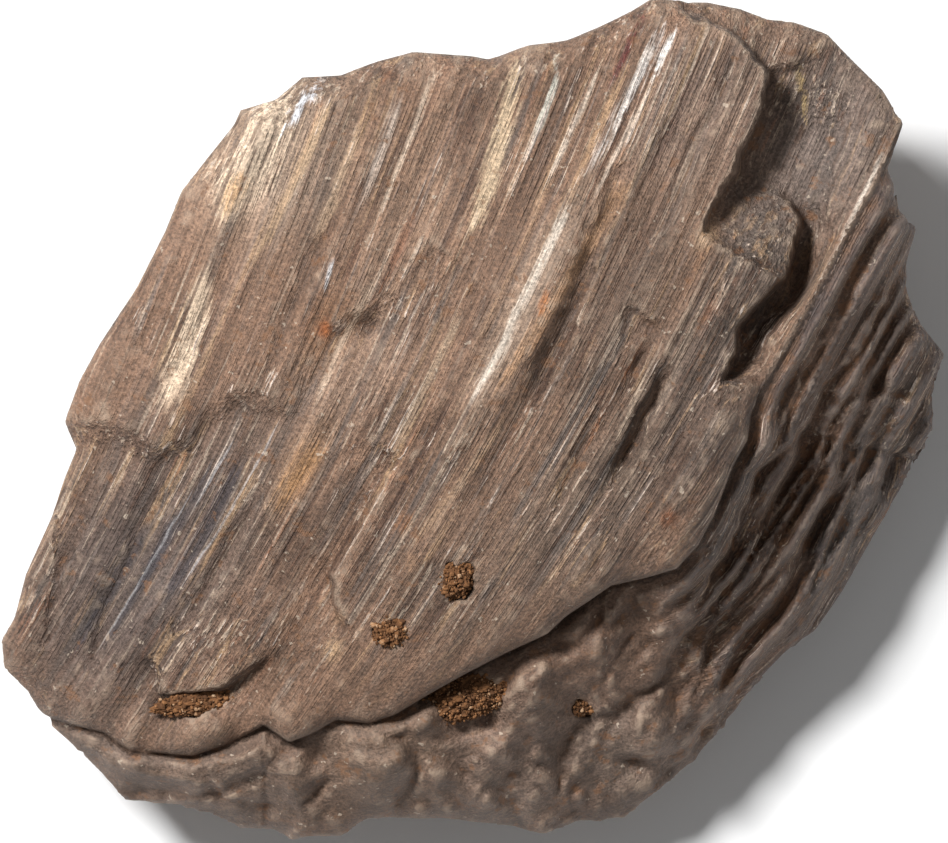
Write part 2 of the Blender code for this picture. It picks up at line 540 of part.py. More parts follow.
def flatten_foot(stone):
    """Keep the reduced mesh, with the face that the stone lies on made truly flat."""
    graph = bpy.context.evaluated_depsgraph_get()
    reduced = bpy.data.meshes.new_from_object(stone.evaluated_get(graph))
    stone.modifiers.clear()
    stone.data = reduced
    for vertex in reduced.vertices:
        if vertex.co.z < FOOT_TOLERANCE * MM:
            vertex.co.z = 0.0


def build_soil(lump):
    """One crumbly lump that fills its pit, with a small gap to the stone around it."""
    name, place, depth, radii, turn = lump
    edit = bmesh.new()
    bmesh.ops.create_icosphere(edit, subdivisions=3, radius=1.0)
    angle = np.radians(turn)
    top = height_at(place)
    for vertex in edit.verts:
        rough = 1.0 - 0.18 * abs(float(noise(*[np.array(4.0 * value) for value in vertex.co])))
        long, wide, high = [value * radius * rough for value, radius in zip(vertex.co, radii)]
        east = long * np.cos(angle) - wide * np.sin(angle)
        north = long * np.sin(angle) + wide * np.cos(angle)
        vertex.co = (east * MM, north * MM, high * MM)
    mesh = bpy.data.meshes.new(name)
    edit.to_mesh(mesh)
    edit.free()
    thing = add_object(name, mesh, SOIL_FINISH)
    thing.location = to_part([(place[0], place[1], top - depth)])[0]
    return thing


def main():
    for thing in list(bpy.data.objects):
        bpy.data.objects.remove(thing)
    build_stone()
    for lump in SOIL_LUMPS:
        build_soil(lump)


main()
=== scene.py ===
"""Looks of a rough hand specimen of petrified wood, on a plain pale floor in soft light.

The stone is meshed finely from the same height maps as its solid, with more of its small ledges,
creases and knobs. Its colours come from nodes that follow the bent grain of the wood. The soil in
its pits and crevices is built grain by grain.

Places are given in millimetres on the specimen's plan, seen from above: x runs to the right and
y down the plan, from the upper left corner of the stone. Heights are above the floor.
"""
from itertools import product

import bmesh
import bpy
import numpy as np
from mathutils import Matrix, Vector


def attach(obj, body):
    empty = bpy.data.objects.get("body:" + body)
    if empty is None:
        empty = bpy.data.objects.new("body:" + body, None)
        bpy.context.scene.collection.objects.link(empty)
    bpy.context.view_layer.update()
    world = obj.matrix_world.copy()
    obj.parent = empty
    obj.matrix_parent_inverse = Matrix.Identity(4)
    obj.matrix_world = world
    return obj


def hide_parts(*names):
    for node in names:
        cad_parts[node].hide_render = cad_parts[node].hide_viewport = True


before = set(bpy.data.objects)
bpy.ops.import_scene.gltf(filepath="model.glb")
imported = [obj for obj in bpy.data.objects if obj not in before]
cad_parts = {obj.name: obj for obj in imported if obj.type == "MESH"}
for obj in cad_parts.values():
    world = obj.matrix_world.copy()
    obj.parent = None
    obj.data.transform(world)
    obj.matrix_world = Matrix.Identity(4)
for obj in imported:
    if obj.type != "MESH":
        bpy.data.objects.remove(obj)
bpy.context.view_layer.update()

# Metres in a millimetre, the stone's size and its place on the plan
MM = 0.001
LENGTH = 94.7
WIDTH = 84.2
PLAN_CENTRE = (47.45, 42.1)
CREST_HEIGHT = 36.0

# The stone's mesh: spacing of the samples, triangles kept, least distance inside a filled corner
MESH_STEP = 0.36
STONE_TRIANGLES = 186000
CLEAR_OF_SURFACE = 0.15

# Walls, edges and underside of the stone
PIT_GAP = 0.1
RIM_ALLOWANCE = 0.45
SLAB_THICKNESS = 3.2
LIP_ROUNDING = 0.9
RIM_ROUNDING = 0.8
UNDERSIDE_ROUNDING = 1.2
GIRDLE_HEIGHTS = (4.5, 16.0)
TURN_IN = 12.0
GAP_UNDER_SLAB = 0.4

# The grain of the upper face and the slopes on either side of its crest
GRAIN_ANGLE = np.radians(62.0)
CREST_POINT = (52.0, 35.0)
CREST_RADIUS = 4.0
SLOPE_LEFT_OF_CREST = 0.12
SLOPE_RIGHT_OF_CREST = 0.24
SLOPE_TO_FRONT = 0.08
FRONT_ROUNDING = 0.0035

# Camera and lights in metres and watts, but the view's centre on the plan. Each light has its
# name, the way to it, its distance, size and power.
CAMERA_HEIGHT = 1.6
FOCUS_HEIGHT = 18.0 * MM
VIEW_WIDTH = 94.8 * MM
VIEW_CENTRE = (47.4, 42.15)
LIGHTS = [
    ("key_light", (-0.46, 0.40, 0.86), 1.1, 0.22, 17.0),
    ("fill_light", (0.9, -0.5, 1.0), 1.4, 0.9, 1.6),
]
SKY_STRENGTH = 0.15
FLOOR_SPAN = 6.0

# The edge of the widest section, clockwise from the upper left
OUTLINE = [
    (24.3, 11.3), (27.8, 10.3), (30.4, 8), (34.2, 7.9), (37.8, 6.5), (41.4, 5.6), (47.3, 6.1),
    (48.9, 6.5), (50.9, 5.7), (52.7, 5), (56.6, 4.5), (60.3, 2.9), (63, 1.5), (65.2, 0.1),
    (68.6, 0.6), (70.5, 0.6), (73.7, 1.2), (76.7, 2.2), (79.1, 2.4), (82.5, 3.6), (85.2, 6.5),
    (88.1, 9.2), (90.2, 12.4), (88.5, 17.1), (89.4, 19.3), (89.7, 21.2), (91.6, 22.8),
    (90.4, 26.6), (90.6, 29.3), (92.1, 32.6), (94.6, 35.4), (93.4, 39.3), (93.7, 43.1),
    (91.2, 47.6), (88.2, 52.7), (84.6, 59.1), (81.9, 63.3), (78.2, 66), (75.8, 69),
    (72.8, 73.2), (69.5, 76.9), (66.9, 78.8), (62.5, 82.6), (58, 82.9), (54.4, 83.9),
    (50.4, 82.8), (44.6, 81.9), (38.8, 81.7), (36.4, 82), (34.3, 83.7), (31, 83.7),
    (29.1, 84.2), (27.3, 83.1), (23.9, 83), (21.2, 81.5), (17.8, 80.6), (14.8, 80.5),
    (12.4, 80.4), (10, 77.5), (7, 74.4), (4.2, 71.9), (2.7, 69.2), (0.2, 66.8), (0.1, 63.9),
    (1.5, 61.7), (2.7, 57.5), (5.4, 51.8), (6.6, 48.2), (8, 44.9), (6.7, 42.2), (8.2, 38.2),
    (10.2, 34.6), (14, 28.9), (16.9, 23.1), (18.4, 19.3), (21.3, 15.7), (23.7, 12.7),
]

# The free edge of the upper slab, from the left to the upper right, with its height of fall
SLAB_EDGE = [
    (-6, 70, 1), (5.4, 72.3, 1.2), (10.3, 73.5, 1.6), (13, 75.3, 1.8), (16.3, 75.5, 1.6),
    (19.3, 75.7, 1.6), (23, 74.5, 1.6), (26.5, 72.6, 1.8), (28.9, 74.3, 2.2), (31.5, 73.3, 2.6),
    (33.7, 72, 2.6), (36.9, 72.4, 2.6), (39.6, 71.5, 3), (43, 69.4, 3.4), (46.5, 67.4, 3.6),
    (50.6, 65.3, 3.6), (54.7, 63.4, 3.8), (56.6, 61.6, 3.8), (58.7, 60.2, 3.8), (61, 58.6, 3.6),
    (64.5, 57.8, 3.4), (67.6, 56.9, 3), (69.7, 54.6, 2.6), (71.4, 51.4, 2.4), (73.2, 46.6, 2.2),
    (74.7, 44, 1.8), (75, 41.6, 1.3), (76.3, 38.4, 1), (78.6, 34.6, 1), (81.5, 29.4, 1),
    (84.6, 23.4, 1), (87.4, 18.6, 1), (89.9, 13, 0.8), (96, 2, 0.6),
]

# Ledges of the upper face: places with the height of fall, low on the right of the way drawn,
# how far the lower level reaches before it has risen again, and the width of the step
FACE_LEDGES = [
    ([(69.6, 24, 1), (71.3, 21.2, 3), (73.4, 17.2, 4.8), (74.6, 14.8, 5.4), (75.7, 12.1, 5.4),
      (76.4, 7.6, 4.2), (76.1, 6.5, 3.2), (72.2, 3.9, 1.8), (67.5, 0.8, 1.2)], 19, 0.5),
    ([(72.4, 38.6, 1.4), (72.6, 35.8, 3.6), (74, 32.6, 4.6), (76.6, 29.9, 5), (78.6, 26.8, 4.8),
      (79.6, 22.8, 3.4), (78.8, 20.4, 1.4), (77.2, 18.6, 0.4)], 6, 0.5),
    ([(6, 42.6, 1.3), (11, 43, 1.3), (15, 45.2, 1.2), (19, 44, 1.2), (24, 40.2, 1.2),
      (28.8, 41, 0.9), (30.4, 36.8, 1.2), (33, 33, 1.4), (37, 32, 1),
      (43, 24, 0.2)], 34, 2.6),
    ([(40.5, 46, 0.3), (38.5, 48.1, 0.9), (35.8, 52.1, 1.3), (34.3, 55.4, 1.4), (33.4, 58.1, 1.8),
      (33.9, 61, 1.6), (35.4, 63.6, 0.6)], 11, 0.9),
    ([(15.1, 65, 0.6), (15.8, 69, 1.2), (17.2, 69.6, 1.8), (19.5, 69.1, 2.2), (21.8, 68.6, 2.4),
      (24, 67.4, 2.2), (25.6, 66, 1.4), (27.4, 64.8, 0.6)], 5.5, 0.9),
    ([(61.4, 31.2, 0.3), (63, 31.2, 0.7), (65, 32, 0.7), (66, 33.4, 0.3)], 9, 0.9),
]

# Ledges of the flanks below the slab, drawn the same way
FLANK_LEDGES = [
    ([(82, 39.8, 1), (84.3, 36.5, 1.7), (86.6, 33.6, 2), (87.5, 31.4, 2.2), (88.6, 29.8, 2.2),
      (88.8, 28.6, 2), (89.9, 27, 1.6), (90.8, 24.8, 1)], 6, 0.9),
    ([(67.4, 63.8, 0.9), (69.5, 60.2, 1.8), (71.5, 56.9, 2.2), (74.2, 50.6, 2.4), (75.8, 47.4, 2.4),
      (78.9, 44.5, 2.6), (80.9, 41.9, 2.2), (83, 38.6, 1)], 7, 0.9),
    ([(67, 60.6, 0.8), (70, 56.4, 1.4), (73.4, 49, 1.6), (75.8, 45.9, 1.6), (77.8, 42.5, 1.5),
      (78.8, 40.2, 1.2), (82.4, 34.2, 1.2), (85, 29, 0.8)], 4, 0.9),
    ([(78, 57.4, 0.6), (80.7, 53.3, 1.3), (82.5, 49.8, 1.5), (84.2, 46.8, 1.5), (86.2, 43.7, 1.4),
      (88.4, 40.2, 0.8)], 4.5, 0.9),
    ([(86.6, 49.6, 0.8), (88, 48.2, 1.4), (89.3, 45.9, 1.5), (91.1, 42.7, 1.1),
      (92, 40.2, 0.5)], 5, 0.9),
    ([(57, 72.5, 0.5), (61.5, 71, 1.2), (65.5, 67.6, 1.6), (68.6, 63.6, 1.6),
      (71, 60, 1)], 6, 0.9),
    ([(60, 75.6, 0.5), (63.5, 75.2, 1.3), (66.3, 75.4, 1.6), (69, 74.4, 1.7), (71.4, 72.2, 1.5),
      (74.6, 68.2, 0.8)], 6, 0.9),
    ([(12, 77.2, 0.4), (14.5, 78.9, 0.9), (17.4, 78.2, 0.9), (20.4, 77, 0.7), (22.2, 80, 0.9),
      (26.4, 80, 0.8), (29.5, 81.4, 0.6)], 5, 0.9),
]

# Ridges and grooves of the upper face: places, half width and height, grooves below nought
FACE_CREASES = [
    ([(60.4, 20.2), (57.3, 25.1), (54.8, 29.3), (52.7, 33.6), (48.8, 40.2), (43.5, 47.5)], 1.4, 0.8),
    ([(63.4, 16), (59.6, 23.6), (57.9, 28.7), (56, 33.3), (53.9, 37.5), (51.6, 41.4)], 1, -1.1),
    ([(65.2, 32), (64.6, 34.6), (62.9, 38.2), (61.6, 41.4)], 0.7, -1),
    ([(66.3, 35.2), (65.9, 38.2), (64.6, 40.8), (63, 44.4), (60.6, 49.4)], 0.9, -1.6),
    ([(73.8, 4.6), (71.4, 11), (68.6, 18), (65.2, 26)], 0.7, -0.6),
    ([(60.6, 40), (57.6, 46.6), (54, 53)], 0.7, -0.7),
    ([(69.6, 41), (66.8, 46.8), (64, 51.6)], 0.8, -0.8),
    ([(34, 20), (29.6, 30), (27, 38.4)], 0.7, -0.45),
    ([(43.4, 40), (37.6, 51.6)], 0.7, -0.5),
    ([(26, 49.4), (20.4, 60), (17.6, 64.4)], 0.7, -0.7),
    ([(17.4, 47.6), (11.4, 60), (8.4, 69)], 0.7, -0.7),
    ([(10.4, 46.4), (6.4, 57), (4, 66)], 0.6, -0.5),
    ([(60.6, 54.4), (59.6, 56.6), (58.6, 58.8)], 0.6, -1.3),
    ([(81.4, 20.6), (80.6, 24.6), (79.3, 28.3), (77, 31.6), (74.8, 34.2), (73.2, 38)], 1.3, -1),
    ([(30.6, 8.6), (27, 13.6), (22.6, 21.4), (19.6, 30), (16.8, 40)], 1.6, 0.35),
    ([(66, 2.4), (62, 10.4), (57.4, 19.2), (54, 25.4)], 1, 0.35),
    ([(52, 6), (49.8, 14), (47.4, 23.6)], 1.4, -0.3),
    ([(69, 10.5), (66, 18), (63, 25)], 1.4, -0.45),
    ([(20, 50), (14, 59), (9, 67)], 1.6, -0.4),
]

# Ridges and grooves of the flanks
FLANK_CREASES = [
    ([(83.4, 43.4), (80.2, 48.2), (77.2, 52.8), (74.4, 57.2)], 2, -2.4),
    ([(83.8, 52), (80.6, 56.6), (77.4, 60.8), (73.4, 66)], 1.3, -1.2),
    ([(85.8, 53), (82.4, 57.8), (79, 62), (75.6, 66.4)], 1.3, 0.9),
    ([(82.6, 41), (85.4, 39.6), (88.2, 39), (91, 40), (94, 39.6)], 0.6, -0.7),
    ([(84, 20), (80, 27), (77, 32), (74, 38)], 1, 0.3),
    ([(31, 78), (32.6, 82)], 2.4, -1.6),
    ([(44, 77.6), (46.8, 78.5), (48.8, 80.6), (51.6, 83)], 1.5, 1),
    ([(30.6, 80.6), (33.6, 81.4), (36.6, 79.6)], 1.2, 0.8),
    ([(28.8, 75), (30.6, 77.2)], 1, 0.7),
]

# Knobs and hollows, as place, half length, half width and height, long along the grain
FACE_LUMPS = [
    (59, 57.2, 4.2, 2.4, 1.8), (69.4, 48, 6.4, 3.8, 2), (72, 42, 3.2, 2.6, 1.2),
    (46, 61.5, 7, 9, 0.9), (20.5, 66.5, 3, 4.5, 0.8), (36.9, 32.6, 1.6, 1.2, -1.3),
    (20, 73, 3.4, 3, 1), (28.6, 71.6, 3, 2.6, 0.9), (70.4, 24, 1.6, 1.2, 0.6),
    (82, 14, 6, 4, -0.8), (31.5, 31.5, 6, 4, -0.5), (75.5, 25.5, 6, 3.2, 1.2),
]
FLANK_LUMPS = [
    (53.2, 70.4, 3.4, 2.8, 2.5), (50.2, 75, 2.6, 2.2, 1.8), (57.2, 75.2, 3.4, 3, -1.4),
    (35, 77, 4.4, 3, 1.4), (31.6, 75.6, 2, 2.4, -1.8), (40, 76.6, 3.4, 3.4, 1.4),
    (45, 74.6, 2.6, 3, 1.2), (33.2, 80, 1.8, 2.2, -1.5), (22.8, 78, 2.6, 3, 1.2),
    (64, 79.6, 2.6, 3, 0.9), (78.2, 39.4, 3, 1.4, -1.4), (87.6, 38.4, 1.1, 0.9, -1.8),
    (41, 80, 2, 3, -1), (63.4, 62.4, 3.4, 2, -1.5),
    (43, 72.2, 2, 1.8, 1), (38.6, 73.6, 2, 2, 1.2), (30.6, 72.4, 2.2, 2, 1.5),
    (26.6, 76.2, 1.8, 2.4, 1.1), (19, 78.4, 1.6, 2.2, 1.2), (14, 76.6, 1.6, 2, 1),
    (48.4, 80, 2.2, 2.6, 1), (54, 79, 2.2, 2.6, 0.8), (61, 66, 2.4, 2.4, 1),
    (58.2, 70.4, 2.6, 2.4, -1), (47, 70.6, 2.2, 5, -1.2),
]

# Waves of the upper face and knobs of the front: height, spacings across and along, layer
FACE_WAVES = ((0.34, 1.6, 26.0, 3.5), (0.20, 0.8, 15.0, 13.5), (0.35, 5.0, 16.0, 9.5))
FRONT_KNOBS = ((2.8, 4.2, 5.4, 2.5), (1.2, 1.9, 2.3, 7.5), (0.5, 0.9, 1.1, 17.5))

# Lines that run with the grain, from which its bending is worked out
GRAIN_LINES = [
    [(30.5, 8.2), (25.1, 16.3), (21.8, 23)],
    [(21.2, 26.6), (19.3, 30.2), (18.1, 34.8), (16.5, 40.8)],
    [(51.8, 5.4), (50, 12.7), (48.5, 18.7), (47, 24.8)],
    [(56, 5.4), (54.8, 10.3), (53.3, 14.8)],
    [(64.8, 0.3), (63.6, 3), (61.2, 8.2), (60.3, 10)],
    [(66, 2.1), (63.9, 7), (61.8, 10.6), (58.8, 15.7), (57, 19.6), (55.1, 23.6), (52.7, 28.7),
     (50.9, 32), (48.8, 37.8), (46.4, 41.4)],
    [(59.7, 21.8), (57.3, 25.1), (54.8, 29.3), (52.7, 33.6), (50.3, 37.8), (48.8, 40.2),
     (40, 52)],
    [(63, 16.9), (59.4, 23.6), (57.9, 28.7), (56, 33.3), (53.9, 37.5), (52.1, 39.9)],
    [(28.4, 41.6), (25.4, 47.6), (18.1, 59.1)],
    [(20, 48), (14.2, 57.4), (9.4, 65.6)],
    [(33.6, 25.7), (32.6, 29.9)],
    [(76.4, 7.6), (74.6, 14.8), (72.2, 19.3), (69.8, 23.6)],
    [(66.1, 36.1), (64.9, 39.7), (63.1, 44), (61.9, 46.1)],
    [(89.7, 13.3), (84.9, 23), (80, 31.7), (74, 42)],
    [(6.6, 48.2), (2.7, 57.5)],
]

# Shapes that make up the bending, and how strongly they are held down
BEND_TERMS = 7
BEND_STIFFNESS = 0.05

# Lodged soil: the solid it stands for, its place, depth of its middle, half sizes and turn
SOIL_LUMPS = [
    ("soil_plug_upper", (45.5, 57.7), 1, (2.1, 1.8, 1.5), 62),
    ("soil_plug_lower", (39.5, 62.6), 1, (2.2, 1.8, 1.4), 30),
    ("soil_in_front_crevice", (47, 69.3), -0.2, (4.9, 2.3, 1.7), 20),
    ("soil_plug_small", (58.2, 70.4), 0.8, (1.3, 1.2, 1.2), 0),
    ("soil_in_left_crevice", (20.2, 70.1), 0.3, (4.6, 1.2, 1.1), 8),
]

# Soft patches of colour: place, half length along the grain, half width, colour and strength
FACE_BASE = (137, 107, 87)
FACE_TINTS = [
    (13, 58, 15, 9, (99, 84, 77), 1),
    (24, 50, 11, 6, (124, 104, 92), 0.8),
    (34, 60, 10, 7, (134, 104, 84), 0.7),
    (46, 58, 9, 7, (132, 106, 88), 0.6),
    (57, 52, 9, 6, (116, 96, 82), 0.8),
    (65, 44, 12, 5, (118, 98, 84), 0.8),
    (72, 34, 12, 4, (100, 85, 75), 0.9),
    (62, 30, 13, 4.5, (104, 85, 72), 0.8),
    (67.5, 11, 9, 4, (152, 127, 111), 0.8),
    (75.6, 24, 5, 3.6, (94, 82, 74), 0.9),
    (70, 44, 8, 5, (104, 84, 72), 0.8),
    (27, 15, 9, 7, (176, 150, 128), 0.85),
    (82, 14, 11, 8, (120, 106, 98), 0.9),
    (72, 10, 10, 4, (138, 116, 102), 0.5),
    (30, 16, 9, 4, (164, 140, 122), 0.6),
    (42, 20, 13, 5, (156, 126, 104), 0.6),
    (36, 36, 9, 5, (166, 138, 118), 0.6),
    (53, 30, 14, 2.6, (172, 148, 128), 0.7),
    (33, 32.5, 3.6, 2.6, (120, 84, 58), 0.7),
    (30, 47, 5, 2, (162, 124, 92), 0.7),
    (33.4, 64.8, 1.3, 0.8, (204, 168, 130), 0.85),
    (34, 61.7, 1, 0.6, (190, 152, 118), 0.7),
    (40.6, 52.2, 1.1, 0.6, (196, 124, 68), 0.85),
    (41.2, 56.3, 0.9, 0.6, (190, 150, 118), 0.7),
    (70.4, 23.8, 1.5, 0.9, (198, 162, 126), 0.85),
    (66.7, 51.7, 1, 0.8, (150, 92, 60), 0.7),
    (32.6, 33, 1, 0.7, (172, 100, 56), 0.8),
]
FLANK_BASE = (116, 91, 75)
FLANK_TINTS = [
    (84, 36, 14, 5, (122, 93, 74), 0.8),
    (78, 50, 9, 5, (98, 70, 52), 0.9),
    (74, 62, 9, 5, (108, 81, 64), 0.7),
    (88, 46, 9, 4, (106, 98, 94), 0.6),
    (84, 55, 6, 2.4, (112, 108, 106), 0.7),
    (46, 73, 4, 4, (118, 90, 74), 0.6),
    (50.3, 76.8, 1.1, 0.9, (150, 92, 58), 0.7),
    (51, 79.5, 4, 4, (150, 138, 128), 0.6),
    (62, 76, 6, 8, (126, 108, 96), 0.8),
    (50, 76, 7, 8, (128, 106, 92), 0.8),
    (38, 76, 7, 8, (126, 104, 88), 0.8),
    (24, 78, 5, 9, (116, 97, 84), 0.8),
    (10, 74, 5, 9, (104, 88, 78), 0.8),
]
SIDE_BASE = (125, 104, 90)
# Pale tone of convex edges: partly worn stone, partly a painted highlight
WORN_EDGE_HIGHLIGHT_TONE = (192, 168, 146)
# Brown tone of hollows: dirt lodged in them and painted shade
HOLLOW_DIRT_AND_SHADE_TONE = (72, 51, 38)
# Bluish grey of crests on the right flank: the stone's own tone with a painted sheen
CREST_SHEEN_AND_TONE = (104, 97, 98)
POWDER_TONE = (136, 98, 70)
SPECK_TONE = (206, 188, 168)
SOIL_TONES = [
    (0.1, (58, 38, 26)), (0.35, (98, 68, 46)), (0.6, (132, 92, 60)), (0.8, (158, 112, 74)),
    (0.97, (206, 178, 146)),
]

# Noise along the grain, in turns per millimetre across and along it, and relief in metres
HAIR_RATES = (4.4, 0.055)
FIBRE_RATES = (1.7, 0.028)
BAND_RATES = (0.5, 0.02)
FIBRE_RELIEF = 0.0006
PITTING = 0.00022
SOIL_GRIT = 0.00012

# Bands of colour that come and go with the grain: tone, rates across and along, shift,
# where the band begins and is full, and its strength
GRAIN_TONES = [
    ((102, 92, 86), 0.8, 0.018, 11, 0.51, 0.65, 0.55),
    ((170, 138, 106), 0.95, 0.018, 23, 0.55, 0.7, 0.55),
    ((82, 58, 45), 1.2, 0.024, 37, 0.53, 0.66, 0.6),
    ((142, 92, 62), 0.6, 0.03, 51, 0.6, 0.74, 0.4),
    ((188, 168, 148), 2.2, 0.016, 67, 0.575, 0.7, 0.5),
]

# Streaks that run with the grain: start, end, width, colour and strength
STREAKS = [
    ((25, 45), (15.5, 62), 1.4, (66, 62, 66), 0.75),
    ((22, 45.5), (12.5, 61), 1, (70, 66, 70), 0.65),
    ((15.5, 51), (7, 66), 1.3, (64, 60, 64), 0.75),
    ((18.6, 50), (10, 65.6), 0.9, (72, 68, 72), 0.65),
    ((36, 46), (27, 60), 2.2, (86, 70, 60), 0.55),
    ((30, 8.6), (21.8, 23.4), 3.3, (224, 200, 174), 0.92),
    ((32, 8.2), (28.2, 14), 0.9, (226, 228, 234), 0.9),
    ((21.4, 26), (16.4, 41.6), 1.9, (226, 200, 172), 0.85),
    ((25, 17), (22.6, 22.4), 1.6, (196, 152, 104), 0.7),
    ((40.4, 9), (36, 22), 1, (190, 174, 160), 0.55),
    ((36.4, 12), (31, 26), 1.2, (184, 156, 128), 0.55),
    ((51.8, 5.4), (47.2, 24.6), 1.8, (208, 182, 150), 0.8),
    ((56, 5.4), (53.3, 14.8), 0.7, (196, 196, 184), 0.75),
    ((48.6, 9), (44.6, 22), 1, (92, 68, 56), 0.6),
    ((64.8, 0.5), (60.3, 10), 0.7, (92, 40, 38), 0.85),
    ((66.6, 2.1), (57.6, 19.6), 0.9, (230, 220, 212), 0.85),
    ((64.8, 4.6), (59.6, 15), 0.6, (206, 196, 188), 0.7),
    ((65.4, 8), (58.4, 21.5), 0.6, (210, 192, 174), 0.65),
    ((52, 40), (41, 55), 1.4, (182, 150, 120), 0.5),
    ((89, 13.6), (74.8, 41.4), 0.6, (204, 192, 178), 0.7),
    ((79.6, 6), (80.4, 13), 0.9, (186, 158, 110), 0.7),
    ((57.4, 19.6), (46.6, 41.2), 1.2, (218, 204, 188), 0.85),
    ((67.9, 2.4), (64.6, 9), 0.7, (232, 226, 220), 0.85),
    ((70.4, 6), (64, 19), 1, (96, 74, 64), 0.6),
    ((63.4, 17), (49, 40), 1.5, (182, 142, 108), 0.65),
    ((64.4, 17.4), (51.4, 41), 0.7, (84, 60, 48), 0.6),
    ((66, 34), (61, 47), 0.9, (88, 66, 54), 0.6),
    ((44, 6.4), (37, 23), 0.8, (196, 178, 158), 0.55),
    ((34, 9), (24.8, 28), 0.9, (192, 160, 126), 0.6),
    ((60.6, 5.4), (54.6, 19), 0.7, (208, 194, 178), 0.6),
    ((38.4, 26), (31, 41), 0.8, (190, 168, 146), 0.5),
    ((50, 27), (43, 42), 0.8, (104, 82, 70), 0.5),
    ((70.4, 30), (64.6, 43), 0.8, (168, 148, 130), 0.45),
    ((54.9, 28.6), (53.7, 32.6), 1, (184, 118, 70), 0.75),
    ((46.6, 30), (39, 46), 1, (184, 160, 134), 0.5),
    ((33, 43), (27, 52), 2.4, (178, 134, 92), 0.75),
    ((28.4, 41.6), (18.1, 59.1), 0.28, (188, 184, 184), 0.55),
    ((24.2, 43), (19.6, 50.6), 0.25, (184, 180, 180), 0.5),
    ((20, 48), (9.4, 65.6), 0.25, (180, 176, 176), 0.5),
    ((33.6, 25.7), (32.4, 30.3), 0.4, (196, 194, 194), 0.7),
    ((64.8, 36), (61, 45.4), 0.7, (188, 166, 144), 0.6),
]

# How long the fading end of a streak is at most
LONGEST_FADE = 6.0

# Random values that all noise of the shapes is drawn from
LATTICE_SIZE = 32
LATTICE = np.random.default_rng(7).uniform(-1.0, 1.0, 3 * (LATTICE_SIZE,))


def ease(value):
    """A soft switch from 0 to 1 as the value goes from 0 to 1."""
    part = np.clip(value, 0.0, 1.0)
    return part * part * (3.0 - 2.0 * part)


def noise(a, b, c):
    """Smooth lattice noise between -1 and 1."""
    cells = [np.floor(value).astype(int) for value in np.broadcast_arrays(a, b, c)]
    parts = [ease(value - cell) for value, cell in zip((a, b, c), cells)]
    total = 0.0
    for corner in product((0, 1), repeat=3):
        weight = 1.0
        for part, side in zip(parts, corner):
            weight = weight * (part if side else 1.0 - part)
        places = tuple((cell + side) % LATTICE_SIZE for cell, side in zip(cells, corner))
        total = total + weight * LATTICE[places]
    return total


def soft_max(a, b, radius):
    """The larger of two distances, with the corner between them rounded."""
    return 0.5 * (a + b + np.sqrt((a - b) ** 2 + radius * radius))


def line_distance(x, y, points):
    """Distance from a line, signed offset to its right, and the value carried along it."""
    nearest = np.full(np.shape(x), 1e9)
    offset = np.zeros(np.shape(x))
    carried = np.zeros(np.shape(x))
    taper = np.zeros(np.shape(x))
    spans = [np.hypot(b[0] - a[0], b[1] - a[1]) for a, b in zip(points, points[1:])]
    total = sum(spans)
    done = 0.0
    for start, end, span in zip(points, points[1:], spans):
        way = ((end[0] - start[0]) / span, (end[1] - start[1]) / span)
        run = np.clip((x - start[0]) * way[0] + (y - start[1]) * way[1], 0.0, span)
        away = np.hypot(x - start[0] - run * way[0], y - start[1] - run * way[1])
        side = way[0] * (y - start[1]) - way[1] * (x - start[0])
        tie = (np.abs(away - nearest) < 1e-9) & (np.abs(side) > np.abs(offset))
        better = (away < nearest - 1e-9) | tie
        offset = np.where(better, side, offset)
        if len(start) > 2:
            carried = np.where(better, start[2] + (end[2] - start[2]) * run / span, carried)
        taper = np.where(better, np.minimum(done + run, total - done - run), taper)
        nearest = np.minimum(away, nearest)
        done += span
    return nearest, np.where(offset < 0.0, -nearest, nearest), carried, taper


def inside_depth(x, y, corners):
    """How far a place lies inside a closed outline, less than nought outside it."""
    within = np.zeros(np.shape(x), bool)
    for (ax, ay), (bx, by) in zip(corners, corners[1:] + corners[:1]):
        crossed = (ay > y) != (by > y)
        meeting = ax + (y - ay) * (bx - ax) / (by - ay if by != ay else 1e-9)
        within ^= crossed & (x < meeting)
    depth = line_distance(x, y, corners + corners[:1])[0]
    return np.where(within, depth, -depth)


def grain_places(x, y, point=CREST_POINT):
    """Distance across the grain, growing to the right, and along it, growing to the front."""
    east = x - point[0]
    south = y - point[1]
    across = east * np.sin(GRAIN_ANGLE) + south * np.cos(GRAIN_ANGLE)
    along = -east * np.cos(GRAIN_ANGLE) + south * np.sin(GRAIN_ANGLE)
    return across, along


def face_height(x, y):
    """The split face before it broke and wore: a low roof that sinks to the front."""
    across, along = grain_places(x, y)
    roof = np.sqrt(across ** 2 + CREST_RADIUS ** 2) - CREST_RADIUS
    mean_slope = 0.5 * (SLOPE_RIGHT_OF_CREST + SLOPE_LEFT_OF_CREST)
    half_change = 0.5 * (SLOPE_RIGHT_OF_CREST - SLOPE_LEFT_OF_CREST)
    fall = mean_slope * roof + half_change * across
    return CREST_HEIGHT - fall - SLOPE_TO_FRONT * along - FRONT_ROUNDING * along ** 2


